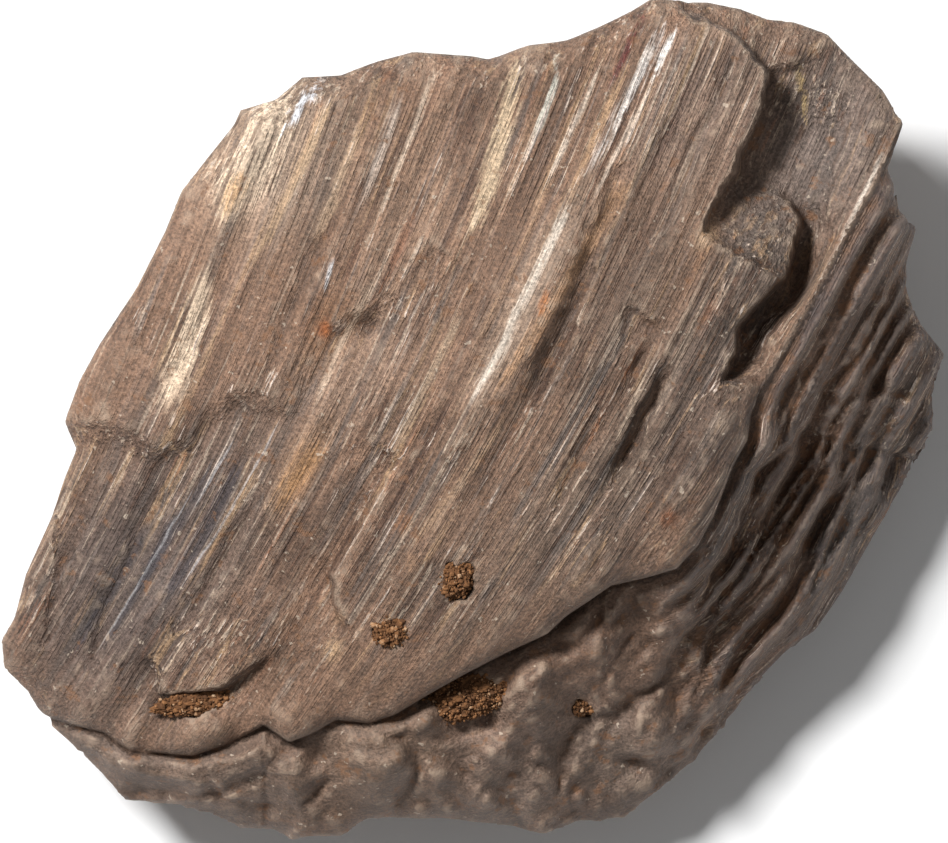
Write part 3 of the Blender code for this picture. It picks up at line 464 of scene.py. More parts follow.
def relief(x, y, ledges, creases, lumps):
    """What ledges, creases and lumps add to a height."""
    height = np.zeros(np.shape(x))
    ragged_x = x + 0.35 * noise(x / 1.1, y / 1.1, 4.5) + 0.8 * noise(x / 3.6, y / 3.6, 14.5)
    ragged_y = y + 0.35 * noise(x / 1.1, y / 1.1, 8.5) + 0.8 * noise(x / 3.6, y / 3.6, 18.5)
    for points, reach, riser in ledges:
        offset, fall, taper = line_distance(ragged_x, ragged_y, points)[1:]
        ends = ease(taper / 1.5 + 0.2)
        low = ease(offset / riser + 0.5) * (1.0 - ease(np.abs(offset) / reach))
        height -= fall * low * ends
    for points, half_width, rise in creases:
        distance = line_distance(ragged_x, ragged_y, points)
        height += rise * np.exp(-(distance[0] / half_width) ** 2) * ease(distance[3] / 6.0 + 0.1)
    for place_x, place_y, half_length, half_width, rise in lumps:
        across, along = grain_places(x, y, (place_x, place_y))
        square = (across / half_width) ** 2 + (along / half_length) ** 2
        height += rise * np.exp(-square)
    return height


def terraces(depth, rise):
    """A depth broken into treads and steep risers."""
    steps = np.floor(depth / rise)
    return rise * (steps + ease((depth / rise - steps - 0.62) / 0.38))


def bend_terms(x, y):
    """The smooth shapes that the bending of the grain is made of."""
    a = (x - 47.0) / 47.0
    b = (y - 42.0) / 42.0
    return np.stack([a * a, a * b, b * b, a ** 3, a * a * b, a * b * b, b ** 3], -1)


def fit_bend():
    """Bend the grain until every traced line keeps one place across it."""
    rows = [BEND_STIFFNESS * np.eye(BEND_TERMS)]
    aims = [np.zeros(BEND_TERMS)]
    for line in GRAIN_LINES:
        x, y = np.array(line).T
        spans = np.hypot(np.diff(x), np.diff(y))
        weight = 1.0 / np.sqrt(spans)
        rows.append(np.diff(bend_terms(x, y), axis=0) * weight[:, None])
        aims.append(-np.diff(grain_places(x, y)[0]) * weight)
    return np.linalg.lstsq(np.concatenate(rows), np.concatenate(aims), rcond=None)[0]


BEND = fit_bend()


def bent_across(x, y):
    """Distance across the grain, following its bends."""
    return grain_places(x, y)[0] + bend_terms(x, y) @ BEND


class Shape:
    """Height maps of the stone on the plan, on a grid of places x and y."""

    def __init__(self, x, y):
        corner_places = [corner[:2] for corner in SLAB_EDGE]
        slab = corner_places + [(120.0, -40.0), (-40.0, -40.0), (-40.0, 70.0)]
        self.inside = inside_depth(x, y, OUTLINE)
        self.deep_inside = inside_depth(x, y, OUTLINE[::5]) - 1.4
        self.beyond_slab = -inside_depth(x, y, slab)
        self.fall = line_distance(x, y, SLAB_EDGE)[2]
        self.base = face_height(x, y)
        self.across, self.along = grain_places(x, y)
        self.bent = bent_across(x, y)
        self.right_flank = ease((x + 0.4 * (40.0 - y) - 52.0) / 14.0)
        self.slab_top = self.make_slab(x, y)
        self.core_top = self.make_core(x, y)
        under_slab = ease(-self.beyond_slab / 1.4)
        excess = np.maximum(self.core_top - self.slab_top + GAP_UNDER_SLAB, 0.0)
        self.core_top -= under_slab * excess

    def make_slab(self, x, y):
        """The upper slab: split face, ledges, and edges rounded by wear."""
        top = self.base + relief(x, y, FACE_LEDGES, FACE_CREASES, FACE_LUMPS)
        lip_width = 2.5 + 3.0 * (1.0 - self.right_flank)
        lip = np.clip(1.0 + self.beyond_slab / lip_width, 0.0, 1.0)
        top = top - (0.4 + 0.9 * (1.0 - self.right_flank)) * lip ** 2
        top = top - 1.3 * np.clip(1.0 - self.inside / 3.5, 0.0, 1.0) ** 2
        for height, across, along, layer in FACE_WAVES:
            top = top + height * noise(self.bent / across, self.along / along, layer)
        return top + 0.10 * noise(x / 0.9, y / 0.9, 5.5)

    def make_core(self, x, y):
        """The block below the slab: stepped right flank and knobbly front."""
        out = np.maximum(self.beyond_slab, 0.0)
        steep = 0.86 * out + 0.006 * out ** 2
        shelly = ease((32.0 - x) / 8.0) * ease(out / 1.2)
        knobbly = (0.12 + 0.45 * shelly) * out + 0.014 * out ** 2
        depth = self.right_flank * steep + (1.0 - self.right_flank) * knobbly
        wave = noise(out / 3.4, self.along / 15.0, 5.5)
        wave = wave + 0.4 * noise(self.bent / 1.3, self.along / 20.0, 1.5)
        stepped = terraces(depth + 1.1 * wave, 2.3)
        stepped = 0.25 * stepped + 0.75 * terraces(stepped + 0.3 * wave, 0.9)
        swerve_x = x + 1.3 * noise(x / 3.1, y / 3.1, 20.5)
        swerve_y = y + 1.3 * noise(x / 3.1, y / 3.1, 24.5)
        turned = grain_places(swerve_x, swerve_y)
        knobs = 0.0
        for height, across, along, layer in FRONT_KNOBS:
            knobs = knobs + height * np.abs(noise(turned[0] / across, turned[1] / along, layer))
        crests = 1.0 - 3.0 * np.abs(noise(self.bent / 1.2, self.along / 22.0, 6.5))
        stepped = stepped - 0.6 * crests * ease(out / 1.5)
        wavy = out + 1.1 * noise(x / 2.6, y / 2.6, 12.5) + 0.4 * noise(x / 1.1, y / 1.1, 15.5)
        ripples = 1.0 - 3.0 * np.abs(noise(wavy / 1.25, (x - y) / 16.0, 16.5))
        depth = depth - 0.75 * (1.0 - self.right_flank) * shelly * ripples
        share = 0.9 * self.right_flank * ease(out / 1.5)
        depth = (1.0 - share) * depth + share * stepped
        knobbed = (1.0 - self.right_flank) * (1.0 - 0.7 * shelly) * ease(out / 2.0)
        depth = depth + knobbed * (1.4 - knobs)
        notch = 1.6 * (1.0 - self.right_flank) * np.exp(-((self.beyond_slab + 0.8) / 1.4) ** 2)
        top = self.base - self.fall - depth - notch
        top = top + relief(x, y, FLANK_LEDGES, FLANK_CREASES, FLANK_LUMPS)
        top = top + 0.22 * noise(self.bent / 0.9, self.along / 9.0, 8.5)
        top = top + 0.16 * noise(x / 0.9, y / 0.9, 2.5)
        return top - 1.5 * np.clip(1.0 - self.inside / 2.5, 0.0, 1.0) ** 2


def where_needed(mask, work, *fields):
    """Work out a slow field only where a mask is true, with nought elsewhere."""
    result = np.zeros(mask.shape)
    result[mask] = work(*[np.broadcast_to(field, mask.shape)[mask] for field in fields])
    return result


def ellipsoid_depth(x, y, z, lump, shape_height, grow):
    """How far places lie outside a lump of soil, roughly, less than nought inside it."""
    place, depth, radii, turn = lump[1:]
    angle = np.radians(turn)
    east = x - place[0]
    north = place[1] - y
    local = (
        (east * np.cos(angle) + north * np.sin(angle)) / (radii[0] + grow),
        (north * np.cos(angle) - east * np.sin(angle)) / (radii[1] + grow),
        (z - shape_height + depth) / (radii[2] + grow),
    )
    reach = np.sqrt(local[0] ** 2 + local[1] ** 2 + local[2] ** 2)
    return (reach - 1.0) * min(radii)


def height_at(place):
    """Height of the stone's upper surface at one place of the plan."""
    shape = Shape(np.array([place[0]]), np.array([place[1]]))
    top = shape.slab_top if shape.beyond_slab[0] < 0.0 else shape.core_top
    return float(top[0])


def broken_layers(across, along, depth):
    """How far broken bundles of fibres stand back from a wall of the stone."""
    coarse = noise(across / 3.6, along / 21.0, depth / 1.9)
    middle = noise(across / 1.7, along / 9.0, depth / 0.9)
    fine = noise(across / 0.8, along / 6.0, depth / 0.45)
    layers = coarse + 0.5 * middle
    return (1.3 * np.clip(layers + 0.25, 0.0, 1.2) + 0.22 * fine + 0.1) * ease((depth - 0.6) / 2.0)


def underside_facets(x, y, z):
    """Lumps and hollows of the broken underside."""
    facets = 1.6 * np.abs(noise(x / 8.0, y / 8.0, z / 9.0)) + 0.5 * noise(x / 2.6, y / 2.6, z / 2.6)
    return facets + 0.3 * noise(x / 1.1, y / 1.1, z / 1.1)


def pit_roughness(x, y, z):
    """How far the rough wall of a pit stands out from its smooth form."""
    return 0.45 * noise(x / 0.9, y / 0.9, z / 0.9) + 0.75 * noise(x / 2.1, y / 2.1, z / 2.1) - 0.2


def stone_field(x, y, z):
    """Distance from the stone's surface in millimetres, less than nought inside."""
    shape = Shape(x[:, :, 0], y[:, :, 0])
    inside = shape.inside[:, :, None]
    beyond = shape.beyond_slab[:, :, None]
    slab_top = shape.slab_top[:, :, None]
    core_top = shape.core_top[:, :, None]
    slab = soft_max(z - slab_top, beyond, LIP_ROUNDING)
    slab = np.maximum(slab, slab_top - SLAB_THICKNESS - z)
    field = np.minimum(slab, (z - core_top) * 0.8)

    top = np.where(beyond < 0.0, slab_top, core_top)
    depth = np.maximum(top - z, 0.0)
    across = shape.across[:, :, None]
    along = shape.along[:, :, None]
    plan_x, plan_y = x[:, :, :1], y[:, :, :1]
    girdle = 0.5 * top + 4.0 * noise(plan_x / 19.0, plan_y / 19.0, 6.5)
    girdle = np.clip(girdle, *GIRDLE_HEIGHTS)
    turn_in = TURN_IN + 7.0 * noise(plan_x / 15.0, plan_y / 15.0, 4.5)
    under = girdle * (1.0 - inside / turn_in) - z
    near = (depth > 0.5) & ((inside < 6.5) | (np.abs(under) < 4.0)) & (inside > -3.0)
    broken = where_needed(near, broken_layers, across, along, depth)
    under = under + where_needed(near, underside_facets, x, y, z) + 0.5 * broken
    under = under / np.sqrt(1.0 + (girdle / turn_in) ** 2)
    lower = ease(depth / 6.0)
    reach = np.minimum(inside, (1.0 - lower) * inside + lower * shape.deep_inside[:, :, None])
    wall = 0.03 * depth + broken - reach - RIM_ALLOWANCE
    field = soft_max(field, soft_max(wall, under, UNDERSIDE_ROUNDING), RIM_ROUNDING)
    for lump in SOIL_LUMPS:
        pit = ellipsoid_depth(x, y, z, lump, height_at(lump[1]), PIT_GAP)
        near_pit = np.abs(pit) < 1.5
        field = np.maximum(field, where_needed(near_pit, pit_roughness, x, y, z) - pit)
    return np.maximum(field, -z)


def corner_views(field):
    """The field at each of the eight corners of every cell, by corner."""
    cells = [count - 1 for count in field.shape]
    corners = list(product((0, 1), repeat=3))
    windows = [tuple(slice(s, s + n) for s, n in zip(corner, cells)) for corner in corners]
    return {corner: field[window] for corner, window in zip(corners, windows)}


def without_diagonals(field):
    """Fill wherever two corners are alike only across a cell's face or through its middle."""
    while fill_across_faces(field) or fill_through_cells(field):
        pass
    return field


def fill_across_faces(field):
    """Fill between two solid corners that face each other across a cell face."""
    changed = False
    for first, second in ((0, 1), (0, 2), (1, 2)):
        grid = np.moveaxis(field, (first, second), (0, 1))
        a, b = grid[:-1, :-1], grid[1:, :-1]
        c, d = grid[1:, 1:], grid[:-1, 1:]
        one_way = (a < 0) & (c < 0) & (b >= 0) & (d >= 0)
        other_way = (b < 0) & (d < 0) & (a >= 0) & (c >= 0)
        changed = changed or one_way.any() or other_way.any()
        b[one_way] = -CLEAR_OF_SURFACE
        a[other_way] = -CLEAR_OF_SURFACE
    return changed


def fill_through_cells(field):
    """Fill a cell in which two corners are alike only through its middle."""
    changed = False
    views = list(corner_views(field).values())
    for first in range(4):
        for sign in (1.0, -1.0):
            alone = np.ones(views[0].shape, bool)
            for place, view in enumerate(views):
                paired = place in (first, 7 - first)
                alone &= (sign * view < 0) if paired else (sign * view >= 0)
            changed = changed or alone.any()
            for view in views:
                view[alone] = np.minimum(view[alone], -CLEAR_OF_SURFACE)
    return changed


def surface_of(field, origin, step):
    """Points and four-sided faces of the surface where a sampled field is nought."""
    views = corner_views(field)
    solid = sum((view < 0.0).astype(np.int8) for view in views.values())
    active = (solid > 0) & (solid < len(views))
    number = np.full(active.shape, -1)
    number[active] = np.arange(np.count_nonzero(active))
    total = np.zeros((np.count_nonzero(active), 3))
    hits = np.zeros(len(total))
    for start, end in product(views, views):
        if sum(end) - sum(start) != 1 or any(a > b for a, b in zip(start, end)):
            continue
        low, high = views[start][active], views[end][active]
        crossed = (low < 0.0) != (high < 0.0)
        part = np.where(crossed, low / np.where(crossed, low - high, 1.0), 0.0)
        place = np.array(start) + part[:, None] * (np.array(end) - np.array(start))
        total += np.where(crossed[:, None], place, 0.0)
        hits += crossed
    points = np.array(origin) + step * (np.argwhere(active) + total / hits[:, None])
    return points, faces_between(field, number)


def faces_between(field, number):
    """One face across each grid edge that passes through the surface."""
    faces = []
    for axis in range(3):
        others = [other for other in range(3) if other != axis]
        grid = np.moveaxis(field, [axis] + others, (0, 1, 2))
        cell = np.moveaxis(number, [axis] + others, (0, 1, 2))
        low, high = grid[:-1, 1:-1, 1:-1], grid[1:, 1:-1, 1:-1]
        ring = np.stack([cell[:, :-1, :-1], cell[:, 1:, :-1], cell[:, 1:, 1:], cell[:, :-1, 1:]], -1)
        leaving = (low < 0.0) & (high >= 0.0)
        entering = (low >= 0.0) & (high < 0.0)
        if axis != 1:
            leaving, entering = entering, leaving
        faces.append(ring[leaving])
        faces.append(ring[entering][:, ::-1])
    return np.concatenate(faces)


def to_part(points):
    """Plan millimetres to the part's frame in metres, with y turned upward."""
    moved = np.array(points, float)
    moved[:, 0] -= PLAN_CENTRE[0]
    moved[:, 1] = PLAN_CENTRE[1] - moved[:, 1]
    return moved * MM


def to_plan(points):
    """The part's frame in metres back to plan millimetres."""
    moved = np.array(points, float) / MM
    moved[:, 0] += PLAN_CENTRE[0]
    moved[:, 1] = PLAN_CENTRE[1] - moved[:, 1]
    return moved


def mesh_of_quads(name, points, faces):
    """A mesh from arrays of points and four-sided faces."""
    mesh = bpy.data.meshes.new(name)
    mesh.vertices.add(len(points))
    mesh.vertices.foreach_set("co", points.ravel())
    mesh.loops.add(faces.size)
    mesh.loops.foreach_set("vertex_index", faces.ravel())
    mesh.polygons.add(len(faces))
    mesh.polygons.foreach_set("loop_start", np.arange(0, faces.size, 4))
    mesh.update(calc_edges=True)
    return mesh


def vertex_array(mesh, key):
    """Vertex places or normals of a mesh as rows of three."""
    values = np.empty(3 * len(mesh.vertices))
    mesh.vertices.foreach_get(key, values)
    return values.reshape(-1, 3)


def edge_array(mesh):
    """The two ends of each edge."""
    ends = np.empty(2 * len(mesh.edges), int)
    mesh.edges.foreach_get("vertices", ends)
    return ends.reshape(-1, 2)


def keep_largest_body(mesh):
    """Drop loose crumbs that the noise leaves beside the stone."""
    first, second = edge_array(mesh).T
    label = np.arange(len(mesh.vertices))
    while True:
        lowest = np.minimum(label[first], label[second])
        spread = label.copy()
        np.minimum.at(spread, first, lowest)
        np.minimum.at(spread, second, lowest)
        spread = spread[spread]
        if np.array_equal(spread, label):
            break
        label = spread
    main = np.bincount(label).argmax()
    edit = bmesh.new()
    edit.from_mesh(mesh)
    edit.verts.ensure_lookup_table()
    loose = [edit.verts[index] for index in np.flatnonzero(label != main)]
    bmesh.ops.delete(edit, geom=loose, context="VERTS")
    edit.to_mesh(mesh)
    edit.free()


def mean_of_neighbours(values, ends, rounds):
    """Spread vertex values over the surface, a ring of neighbours each round."""
    count = np.bincount(ends.ravel(), minlength=len(values)).astype(float)
    for _ in range(rounds):
        total = np.zeros_like(values)
        for column in range(values.shape[1]):
            total[:, column] = np.bincount(ends[:, 0], values[ends[:, 1], column], len(values))
            total[:, column] += np.bincount(ends[:, 1], values[ends[:, 0], column], len(values))
        values = 0.5 * values + 0.5 * total / count[:, None]
    return values


def hollowness(places, normals, ends, rounds):
    """How deep each vertex lies below its smoothed surroundings, in millimetres."""
    smooth = mean_of_neighbours(places, ends, rounds)
    return np.einsum("ij,ij->i", smooth - places, normals) / MM


def linear(colour):
    """Screen colours from 0 to 1 as the linear colours that a shader takes."""
    return np.where(colour <= 0.04045, colour / 12.92, ((colour + 0.055) / 1.055) ** 2.4)


def soft_patches(x, y, patches, base):
    """Colours of large soft patches laid over a base colour."""
    colour = np.tile(np.array(base, float) / 255.0, (len(x), 1))
    for place_x, place_y, half_length, half_width, tone, strength in patches:
        across, along = grain_places(x, y, (place_x, place_y))
        square = (across / half_width) ** 2 + (along / half_length) ** 2
        share = strength * np.exp(-square ** 1.5)
        colour += share[:, None] * (np.array(tone) / 255.0 - colour)
    return colour


def set_attribute(mesh, name, kind, values):
    """Store one value, vector or colour for each vertex."""
    attribute = mesh.attributes.new(name, kind, "POINT")
    key = {"FLOAT": "value", "FLOAT_VECTOR": "vector", "FLOAT_COLOR": "color"}[kind]
    attribute.data.foreach_set(key, np.ascontiguousarray(values, dtype=np.float32).ravel())


def paint_stone(mesh):
    """Give each vertex its place in the grain, its zone, its tint and its hollowness."""
    places = vertex_array(mesh, "co")
    normals = vertex_array(mesh, "normal")
    ends = edge_array(mesh)
    x, y, z = to_plan(places).T
    shape = Shape(x, y)
    flank = ease((shape.beyond_slab + 0.15) / 0.3)
    across = (1.0 - flank) * bent_across(x, y) + flank * (shape.beyond_slab + 60.0)
    grain = np.stack([across, shape.along, shape.base - z], -1)
    set_attribute(mesh, "grain", "FLOAT_VECTOR", grain)
    right = shape.right_flank * flank
    front = (1.0 - shape.right_flank) * flank
    top_face = ease((normals[:, 2] - 0.25) / 0.35)
    worn = (1.0 - flank) * ease((shape.beyond_slab + 9.0) / 7.0) * ease((y - 52.0) / 8.0)
    zones = np.stack([right, front, worn, np.ones(len(x))], -1)
    set_attribute(mesh, "zones", "FLOAT_COLOR", zones)
    face = soft_patches(x, y, FACE_TINTS, FACE_BASE)
    flanks = soft_patches(x, y, FLANK_TINTS, FLANK_BASE)
    tint = face + flank[:, None] * (flanks - face)
    side = np.array(SIDE_BASE) / 255.0
    tint = side + top_face[:, None] * (tint - side)
    opaque = np.ones((len(x), 1))
    set_attribute(mesh, "tint", "FLOAT_COLOR", np.concatenate([linear(tint), opaque], -1))
    for name, rounds in (("fine_hollow", 3), ("broad_hollow", 26)):
        set_attribute(mesh, name, "FLOAT", hollowness(places, normals, ends, rounds))


def new_object(name, data):
    """An object in the scene that holds the given data."""
    made = bpy.data.objects.new(name, data)
    bpy.context.collection.objects.link(made)
    return made


def build_stone():
    """Sample the stone's shape, mesh it finely and dress it."""
    margin = 2.0
    axes = [
        np.arange(-margin, LENGTH + margin, MESH_STEP),
        np.arange(-margin, WIDTH + margin, MESH_STEP),
        np.arange(-1.4 * MESH_STEP, CREST_HEIGHT + 4.0, MESH_STEP),
    ]
    x, y, z = np.meshgrid(*axes, indexing="ij")
    field = without_diagonals(stone_field(x, y, z))
    points, faces = surface_of(field, [axis[0] for axis in axes], MESH_STEP)
    mesh = mesh_of_quads("stone_fine", to_part(points), faces)
    keep_largest_body(mesh)
    stone = new_object("stone", mesh)
    fewer = stone.modifiers.new("fewer_facets", "DECIMATE")
    fewer.ratio = min(1.0, STONE_TRIANGLES / (2.0 * len(mesh.polygons)))
    graph = bpy.context.evaluated_depsgraph_get()
    reduced = bpy.data.meshes.new_from_object(stone.evaluated_get(graph))
    stone.modifiers.clear()
    stone.data = reduced
    reduced.shade_smooth()
    paint_stone(reduced)
    reduced.materials.append(stone_material())
    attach(stone, "root")
    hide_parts("petrified_wood")


def paint(colour):
    """A screen colour from 0 to 255 as a shader's linear colour."""
    return (*linear(np.array(colour) / 255.0), 1.0)


class Graph:
    """A material's node tree, with short ways to add nodes and join them."""

    def __init__(self, name):
        self.material = bpy.data.materials.new(name)
        self.material.use_nodes = True
        self.nodes = self.material.node_tree.nodes
        self.links = self.material.node_tree.links
        self.shader = self.nodes["Principled BSDF"]

    def feed(self, node, feeds):
        """Join sockets to a node's inputs, or set the inputs to plain values."""
        for place, value in feeds.items():
            if isinstance(value, bpy.types.NodeSocket):
                self.links.new(value, node.inputs[place])
            else:
                node.inputs[place].default_value = value

    def add(self, kind, feeds, **settings):
        """The outputs of a new node with the given settings and inputs."""
        node = self.nodes.new("ShaderNode" + kind)
        for name, value in settings.items():
            setattr(node, name, value)
        self.feed(node, feeds)
        return node.outputs

    def math(self, operation, a, b=0.0):
        return self.add("Math", {0: a, 1: b}, operation=operation)[0]

    def plus(self, a, b):
        return self.math("ADD", a, b)

    def times(self, a, b):
        return self.math("MULTIPLY", a, b)

    def swing(self, value, scale):
        """A noise moved so that it swings about nought, and scaled."""
        return self.times(self.math("SUBTRACT", value, 0.5), scale)

    def blend(self, share, a, b, kind="MIX"):
        """Two colours mixed by a share from 0 to 1."""
        feeds = {0: share, 6: a, 7: b}
        return self.add("Mix", feeds, data_type="RGBA", blend_type=kind)[2]

    def attribute(self, name, output="Fac"):
        return self.add("Attribute", {}, attribute_name=name)[output]

    def noise(self, vector, scale=1.0, detail=2.0, roughness=0.5):
        """Noise between 0 and 1, mostly near 0.5."""
        feeds = {"Vector": vector, "Scale": scale, "Detail": detail, "Roughness": roughness}
        return self.add("TexNoise", feeds)[0]

    def window(self, value, low, high, out_low=0.0, out_high=1.0, kind="SMOOTHSTEP"):
        """A value mapped from one range to another, held at its ends."""
        feeds = dict(enumerate((value, low, high, out_low, out_high)))
        return self.add("MapRange", feeds, interpolation_type=kind, clamp=True)[0]

    def bump(self, height, strength, distance, more=None):
        """A normal tilted by a height, on top of another one where more is given."""
        feeds = {"Strength": strength, "Distance": distance, "Height": height, **(more or {})}
        return self.add("Bump", feeds)[0]


def streak_share(graph, across, along, ends, width):
    """How near the middle of one streak of colour a place lies, fading toward its ends."""
    x, y = np.array(ends).T
    line = bent_across(x, y)
    run = grain_places(x, y)[1]
    middle = graph.window(along, run[0], run[1], line[0], line[1], "LINEAR")
    away = graph.math("ABSOLUTE", graph.math("SUBTRACT", across, middle))
    near = graph.window(away, 0.0, 0.9 * width, 1.0, 0.0, "LINEAR")
    fade = min(LONGEST_FADE, 0.5 * (run[1] - run[0]) + 0.3)
    begun = graph.window(along, run[0] - 0.3 * fade, run[0] + 0.7 * fade)
    ended = graph.window(along, run[1] - 0.8 * fade, run[1] + 0.4 * fade, 1.0, 0.0)
    return graph.times(near, graph.times(begun, ended))


def stretched_noise(graph, grain, across_rate, along_rate, shift=0.0):
    """Noise drawn out along the grain, with its rates in turns per millimetre."""
    feeds = {0: grain, 1: (across_rate, along_rate, across_rate), 2: (shift, shift, shift)}
    moved = graph.add("VectorMath", feeds, operation="MULTIPLY_ADD")[0]
    return graph.noise(moved, detail=3.0, roughness=0.6)


def lines_of_grain(graph, grain, place, smooth):
    """Fine lines along the grain, faint where the stone is smooth, and how clear they are."""
    hair = stretched_noise(graph, grain, *HAIR_RATES)
    fibre = stretched_noise(graph, grain, *FIBRE_RATES, 7.0)
    lines = graph.plus(graph.times(hair, 0.5), graph.times(fibre, 0.5))
    calm = graph.window(smooth, 0.0, 1.0, 1.0, 0.15, "LINEAR")
    clear = graph.window(graph.noise(place, scale=70.0), 0.38, 0.60, 0.75, 1.45)
    calm = graph.times(calm, clear)
    return graph.plus(graph.swing(lines, calm), 0.5), calm


def streaked(graph, grain, lines, calm, mottle):
    """The stone's tint under bands and streaks of colour along the grain."""
    across, along = graph.add("SeparateXYZ", {0: grain})[:2]
    colour = graph.attribute("tint", "Color")
    for tone, across_rate, along_rate, shift, low, high, most in GRAIN_TONES:
        band = stretched_noise(graph, grain, across_rate, along_rate, shift)
        band = graph.plus(band, graph.swing(lines, 0.5))
        share = graph.times(graph.window(band, low, high, 0.0, most), calm)
        colour = graph.blend(share, colour, paint(tone))
    fray = graph.swing(lines, 2.6)
    shaky = graph.plus(across, graph.swing(mottle, 0.8))
    for start, end, width, tone, most in STREAKS:
        share = graph.plus(streak_share(graph, shaky, along, (start, end), width), fray)
        colour = graph.blend(graph.window(share, 0.30, 0.95, 0.0, most), colour, paint(tone))
    return colour


def weathered_with_painted_light(graph, colour, place, mottle, speck, right, front):
    """A colour worn pale with a painted highlight on edges, bluish with a painted sheen on crests,
    brown with dirt and painted shade in hollows, and with pale specks.
    """
    fine_hollow = graph.attribute("fine_hollow")
    broad_hollow = graph.attribute("broad_hollow")
    # Convex edges turn pale: worn stone with a painted highlight laid over it
    worn_edge_highlight = graph.window(fine_hollow, -0.015, -0.10, 0.0, 0.55)
    worn_edge_highlight = graph.times(worn_edge_highlight, graph.window(mottle, 0.40, 0.58, 0.35, 1.0))
    colour = graph.blend(worn_edge_highlight, colour, paint(WORN_EDGE_HIGHLIGHT_TONE))
    # Fine and broad hollows turn brown: dirt lodged in them and painted shade; this mask also places
    # the settled powder below
    broad_dirt_and_shade = graph.window(broad_hollow, 0.14, 0.80, 0.0, 0.58)
    low = graph.math("MAXIMUM", graph.window(fine_hollow, 0.016, 0.12, 0.0, 0.52), broad_dirt_and_shade)
    colour = graph.blend(low, colour, paint(HOLLOW_DIRT_AND_SHADE_TONE))
    # Crests of the right flank turn bluish grey: the stone's tone with a painted sheen
    crest_sheen_and_tone = graph.window(broad_hollow, -0.04, -0.30, 0.0, 0.42)
    colour = graph.blend(graph.times(crest_sheen_and_tone, right), colour, paint(CREST_SHEEN_AND_TONE))
    powder = graph.noise(place, scale=420.0, detail=3.0, roughness=0.75)
    packed = graph.plus(graph.times(right, 0.12), 0.20)
    settled = graph.plus(graph.times(low, packed), powder)
    settled = graph.plus(settled, graph.times(graph.plus(right, front), 0.035))
    colour = graph.blend(graph.window(settled, 0.60, 0.72, 0.0, 0.70), colour, paint(POWDER_TONE))
    return graph.blend(graph.window(speck, 0.68, 0.73, 0.0, 0.6), colour, paint(SPECK_TONE))


def stone_material():
    """Silicified wood: tinted by patches, streaked along the grain, weathered, and given painted
    highlights on edges, painted shade in hollows and painted sheen on crests.
    """
    graph = Graph("petrified_wood_surface")
    grain = graph.attribute("grain", "Vector")
    right, front, worn = graph.add("SeparateColor", {0: graph.attribute("zones", "Color")})[:3]
    place = graph.add("NewGeometry", {})["Position"]
    grit = graph.noise(place, scale=3000.0, detail=3.0, roughness=0.75)
    mottle = graph.noise(place, scale=170.0, detail=3.0, roughness=0.65)
    speck = graph.noise(place, scale=1100.0, detail=2.0, roughness=0.6)
    smooth = graph.math("MAXIMUM", front, graph.times(worn, 0.75))
    lines, calm = lines_of_grain(graph, grain, place, smooth)
    broad_bands = stretched_noise(graph, grain, *BAND_RATES, 3.0)
    light = 1.0
    for source, low, high, darkest, lightest in (
        (lines, 0.38, 0.62, 0.68, 1.32),
        (broad_bands, 0.36, 0.64, 0.82, 1.17),
        (grit, 0.36, 0.64, 0.58, 1.40),
        (mottle, 0.3, 0.7, 0.84, 1.14),
    ):
        light = graph.times(graph.window(source, low, high, darkest, lightest, "LINEAR"), light)
    grey = graph.add("CombineColor", {0: light, 1: light, 2: light})[0]
    colour = graph.blend(1.0, streaked(graph, grain, lines, calm, mottle), grey, "MULTIPLY")
    fibres = graph.bump(graph.times(lines, 1.3), 1.0, FIBRE_RELIEF)
    pitted = graph.plus(grit, graph.times(speck, 0.8))
    graph.feed(graph.shader, {
        "Base Color": weathered_with_painted_light(graph, colour, place, mottle, speck, right, front),
        "Roughness": graph.window(grit, 0.3, 0.7, 0.50, 0.78, "LINEAR"),
        "Specular IOR Level": 0.45,
        "Normal": graph.bump(pitted, 0.8, PITTING, {"Normal": fibres}),
    })
    return graph.material


def soil_material():
    """Dry crumbly soil, each grain with a tone of its own."""
    graph = Graph("soil_surface")
    place = graph.add("NewGeometry", {})["Position"]
    grit = graph.noise(place, scale=4200.0, detail=3.0, roughness=0.7)
    mixed = graph.plus(graph.times(graph.attribute("grain_tone"), 0.8), graph.times(grit, 0.3))
    ramp = graph.nodes.new("ShaderNodeValToRGB")
    elements = ramp.color_ramp.elements
    while len(elements) < len(SOIL_TONES):
        elements.new(0.5)
    for element, (position, colour) in zip(elements, SOIL_TONES):
        element.position = position
        element.color = paint(colour)
    graph.feed(ramp, {0: mixed})
    graph.feed(graph.shader, {
        "Base Color": ramp.outputs[0],
        "Roughness": 0.95,
        "Specular IOR Level": 0.2,
        "Normal": graph.bump(grit, 0.8, SOIL_GRIT),
    })
    return graph.material


def add_grain(edit, tone_layer, place, size, dice):
    """One rough grain of soil with its own size, turn and tone."""
    made = bmesh.ops.create_icosphere(edit, subdivisions=1, radius=1.0)["verts"]
    stretch = size * dice.uniform(0.6, 1.25, 3)
    spin = dice.uniform(-1.0, 1.0, 3)
    tone = dice.uniform(0.0, 1.0) ** 1.3
    for vertex in made:
        co = Vector(vertex.co) * dice.uniform(0.78, 1.15)
        co = Vector([part * span for part, span in zip(co, stretch)])
        co.rotate(Vector((0.0, 0.0, 1.0)).rotation_difference(Vector(spin)))
        vertex.co = co + place
        vertex[tone_layer] = 0.15 + 0.8 * tone


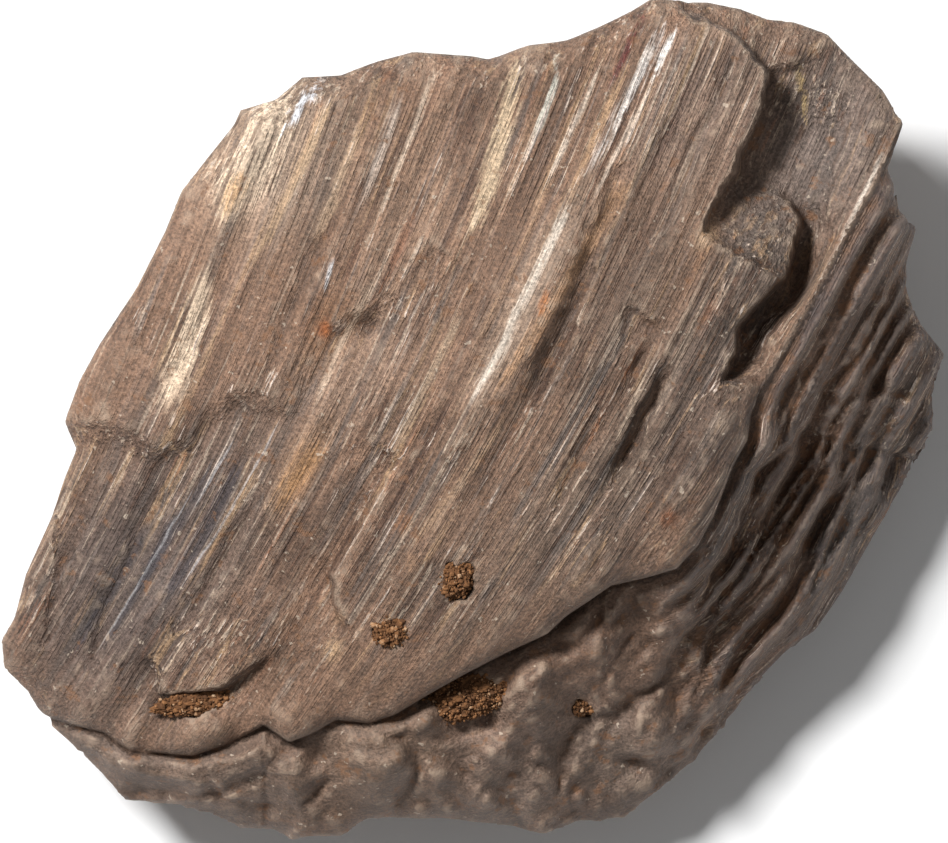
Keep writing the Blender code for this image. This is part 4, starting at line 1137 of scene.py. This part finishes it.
def build_soil(lump, material, dice):
    """A lump of soil: a rough heart that fills the pit, with grains crowded over its top."""
    name, place, depth, radii, turn = lump
    edit = bmesh.new()
    tone_layer = edit.verts.layers.float.new("grain_tone")
    heart = bmesh.ops.create_icosphere(edit, subdivisions=5, radius=1.0)["verts"]
    angle = np.radians(turn)
    top = height_at(place) - depth
    centre = Vector(to_part([(place[0], place[1], top)])[0])

    def placed(direction, swell):
        long, wide, high = [part * radius * swell for part, radius in zip(direction, radii)]
        east = long * np.cos(angle) - wide * np.sin(angle)
        north = long * np.sin(angle) + wide * np.cos(angle)
        return centre + Vector((east, north, high)) * MM

    unit = np.array([vertex.co for vertex in heart]).T + 9.0
    rough = 0.6 * noise(*(3.1 * unit)) + 0.5 * noise(*(7.3 * unit)) + 0.35 * noise(*(15.1 * unit))
    for vertex, swell in zip(heart, rough):
        vertex[tone_layer] = 0.36 + 0.34 * swell + 0.12 * dice.uniform(-1.0, 1.0)
        vertex.co = placed(vertex.co, 0.98 + 0.26 * swell)
    count = int(95 * radii[0] * radii[1])
    for _ in range(count):
        direction = dice.normal(size=3)
        direction[2] = abs(direction[2]) + 0.15
        direction /= np.linalg.norm(direction)
        size = MM * dice.uniform(0.06, 0.17) * (0.7 + 1.8 * dice.random() ** 5)
        add_grain(edit, tone_layer, placed(direction, dice.uniform(0.92, 1.14)), size, dice)
    mesh = bpy.data.meshes.new(name + "_grains")
    edit.to_mesh(mesh)
    edit.free()
    mesh.materials.append(material)
    soil = new_object(name + "_grains", mesh)
    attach(soil, "root")
    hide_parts(name)


def build_floor():
    """A plain pale floor that the stone lies on."""
    bpy.ops.mesh.primitive_plane_add(size=FLOOR_SPAN, location=(0.0, 0.0, -0.0001))
    floor = bpy.context.object
    floor.name = "floor"
    graph = Graph("pale_floor")
    graph.feed(graph.shader, {"Base Color": (0.92, 0.92, 0.92, 1.0), "Roughness": 0.9})
    floor.data.materials.append(graph.material)


def add_softbox(name, toward, distance, size, power):
    """A square soft light that faces the stone."""
    light = bpy.data.lights.new(name, "AREA")
    light.shape = "SQUARE"
    light.size = size
    light.energy = power
    lamp = new_object(name, light)
    lamp.location = Vector(toward).normalized() * distance
    lamp.rotation_mode = "QUATERNION"
    lamp.rotation_quaternion = Vector(toward).to_track_quat("Z", "Y")


def build_lights():
    """A key light from the upper left of the photograph, with pale light all round."""
    for light in LIGHTS:
        add_softbox(*light)
    world = bpy.data.worlds.new("studio")
    world.use_nodes = True
    sky = world.node_tree.nodes["Background"].inputs
    sky["Color"].default_value = (1.0, 1.0, 1.0, 1.0)
    sky["Strength"].default_value = SKY_STRENGTH
    bpy.context.scene.world = world


def build_camera():
    """A long lens straight above the stone, as in the photograph."""
    data = bpy.data.cameras.new("camera")
    data.sensor_width = 36.0
    data.lens = data.sensor_width * (CAMERA_HEIGHT - FOCUS_HEIGHT) / VIEW_WIDTH
    camera = new_object("camera", data)
    middle = to_part([(*VIEW_CENTRE, 0.0)])[0]
    camera.location = (middle[0], middle[1], CAMERA_HEIGHT)
    bpy.context.scene.camera = camera


def main():
    build_camera()
    build_lights()
    build_floor()
    build_stone()
    dice = np.random.default_rng(21)
    material = soil_material()
    for lump in SOIL_LUMPS:
        build_soil(lump, material, dice)
    bpy.context.scene.view_settings.view_transform = "Standard"
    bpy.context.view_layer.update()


main()
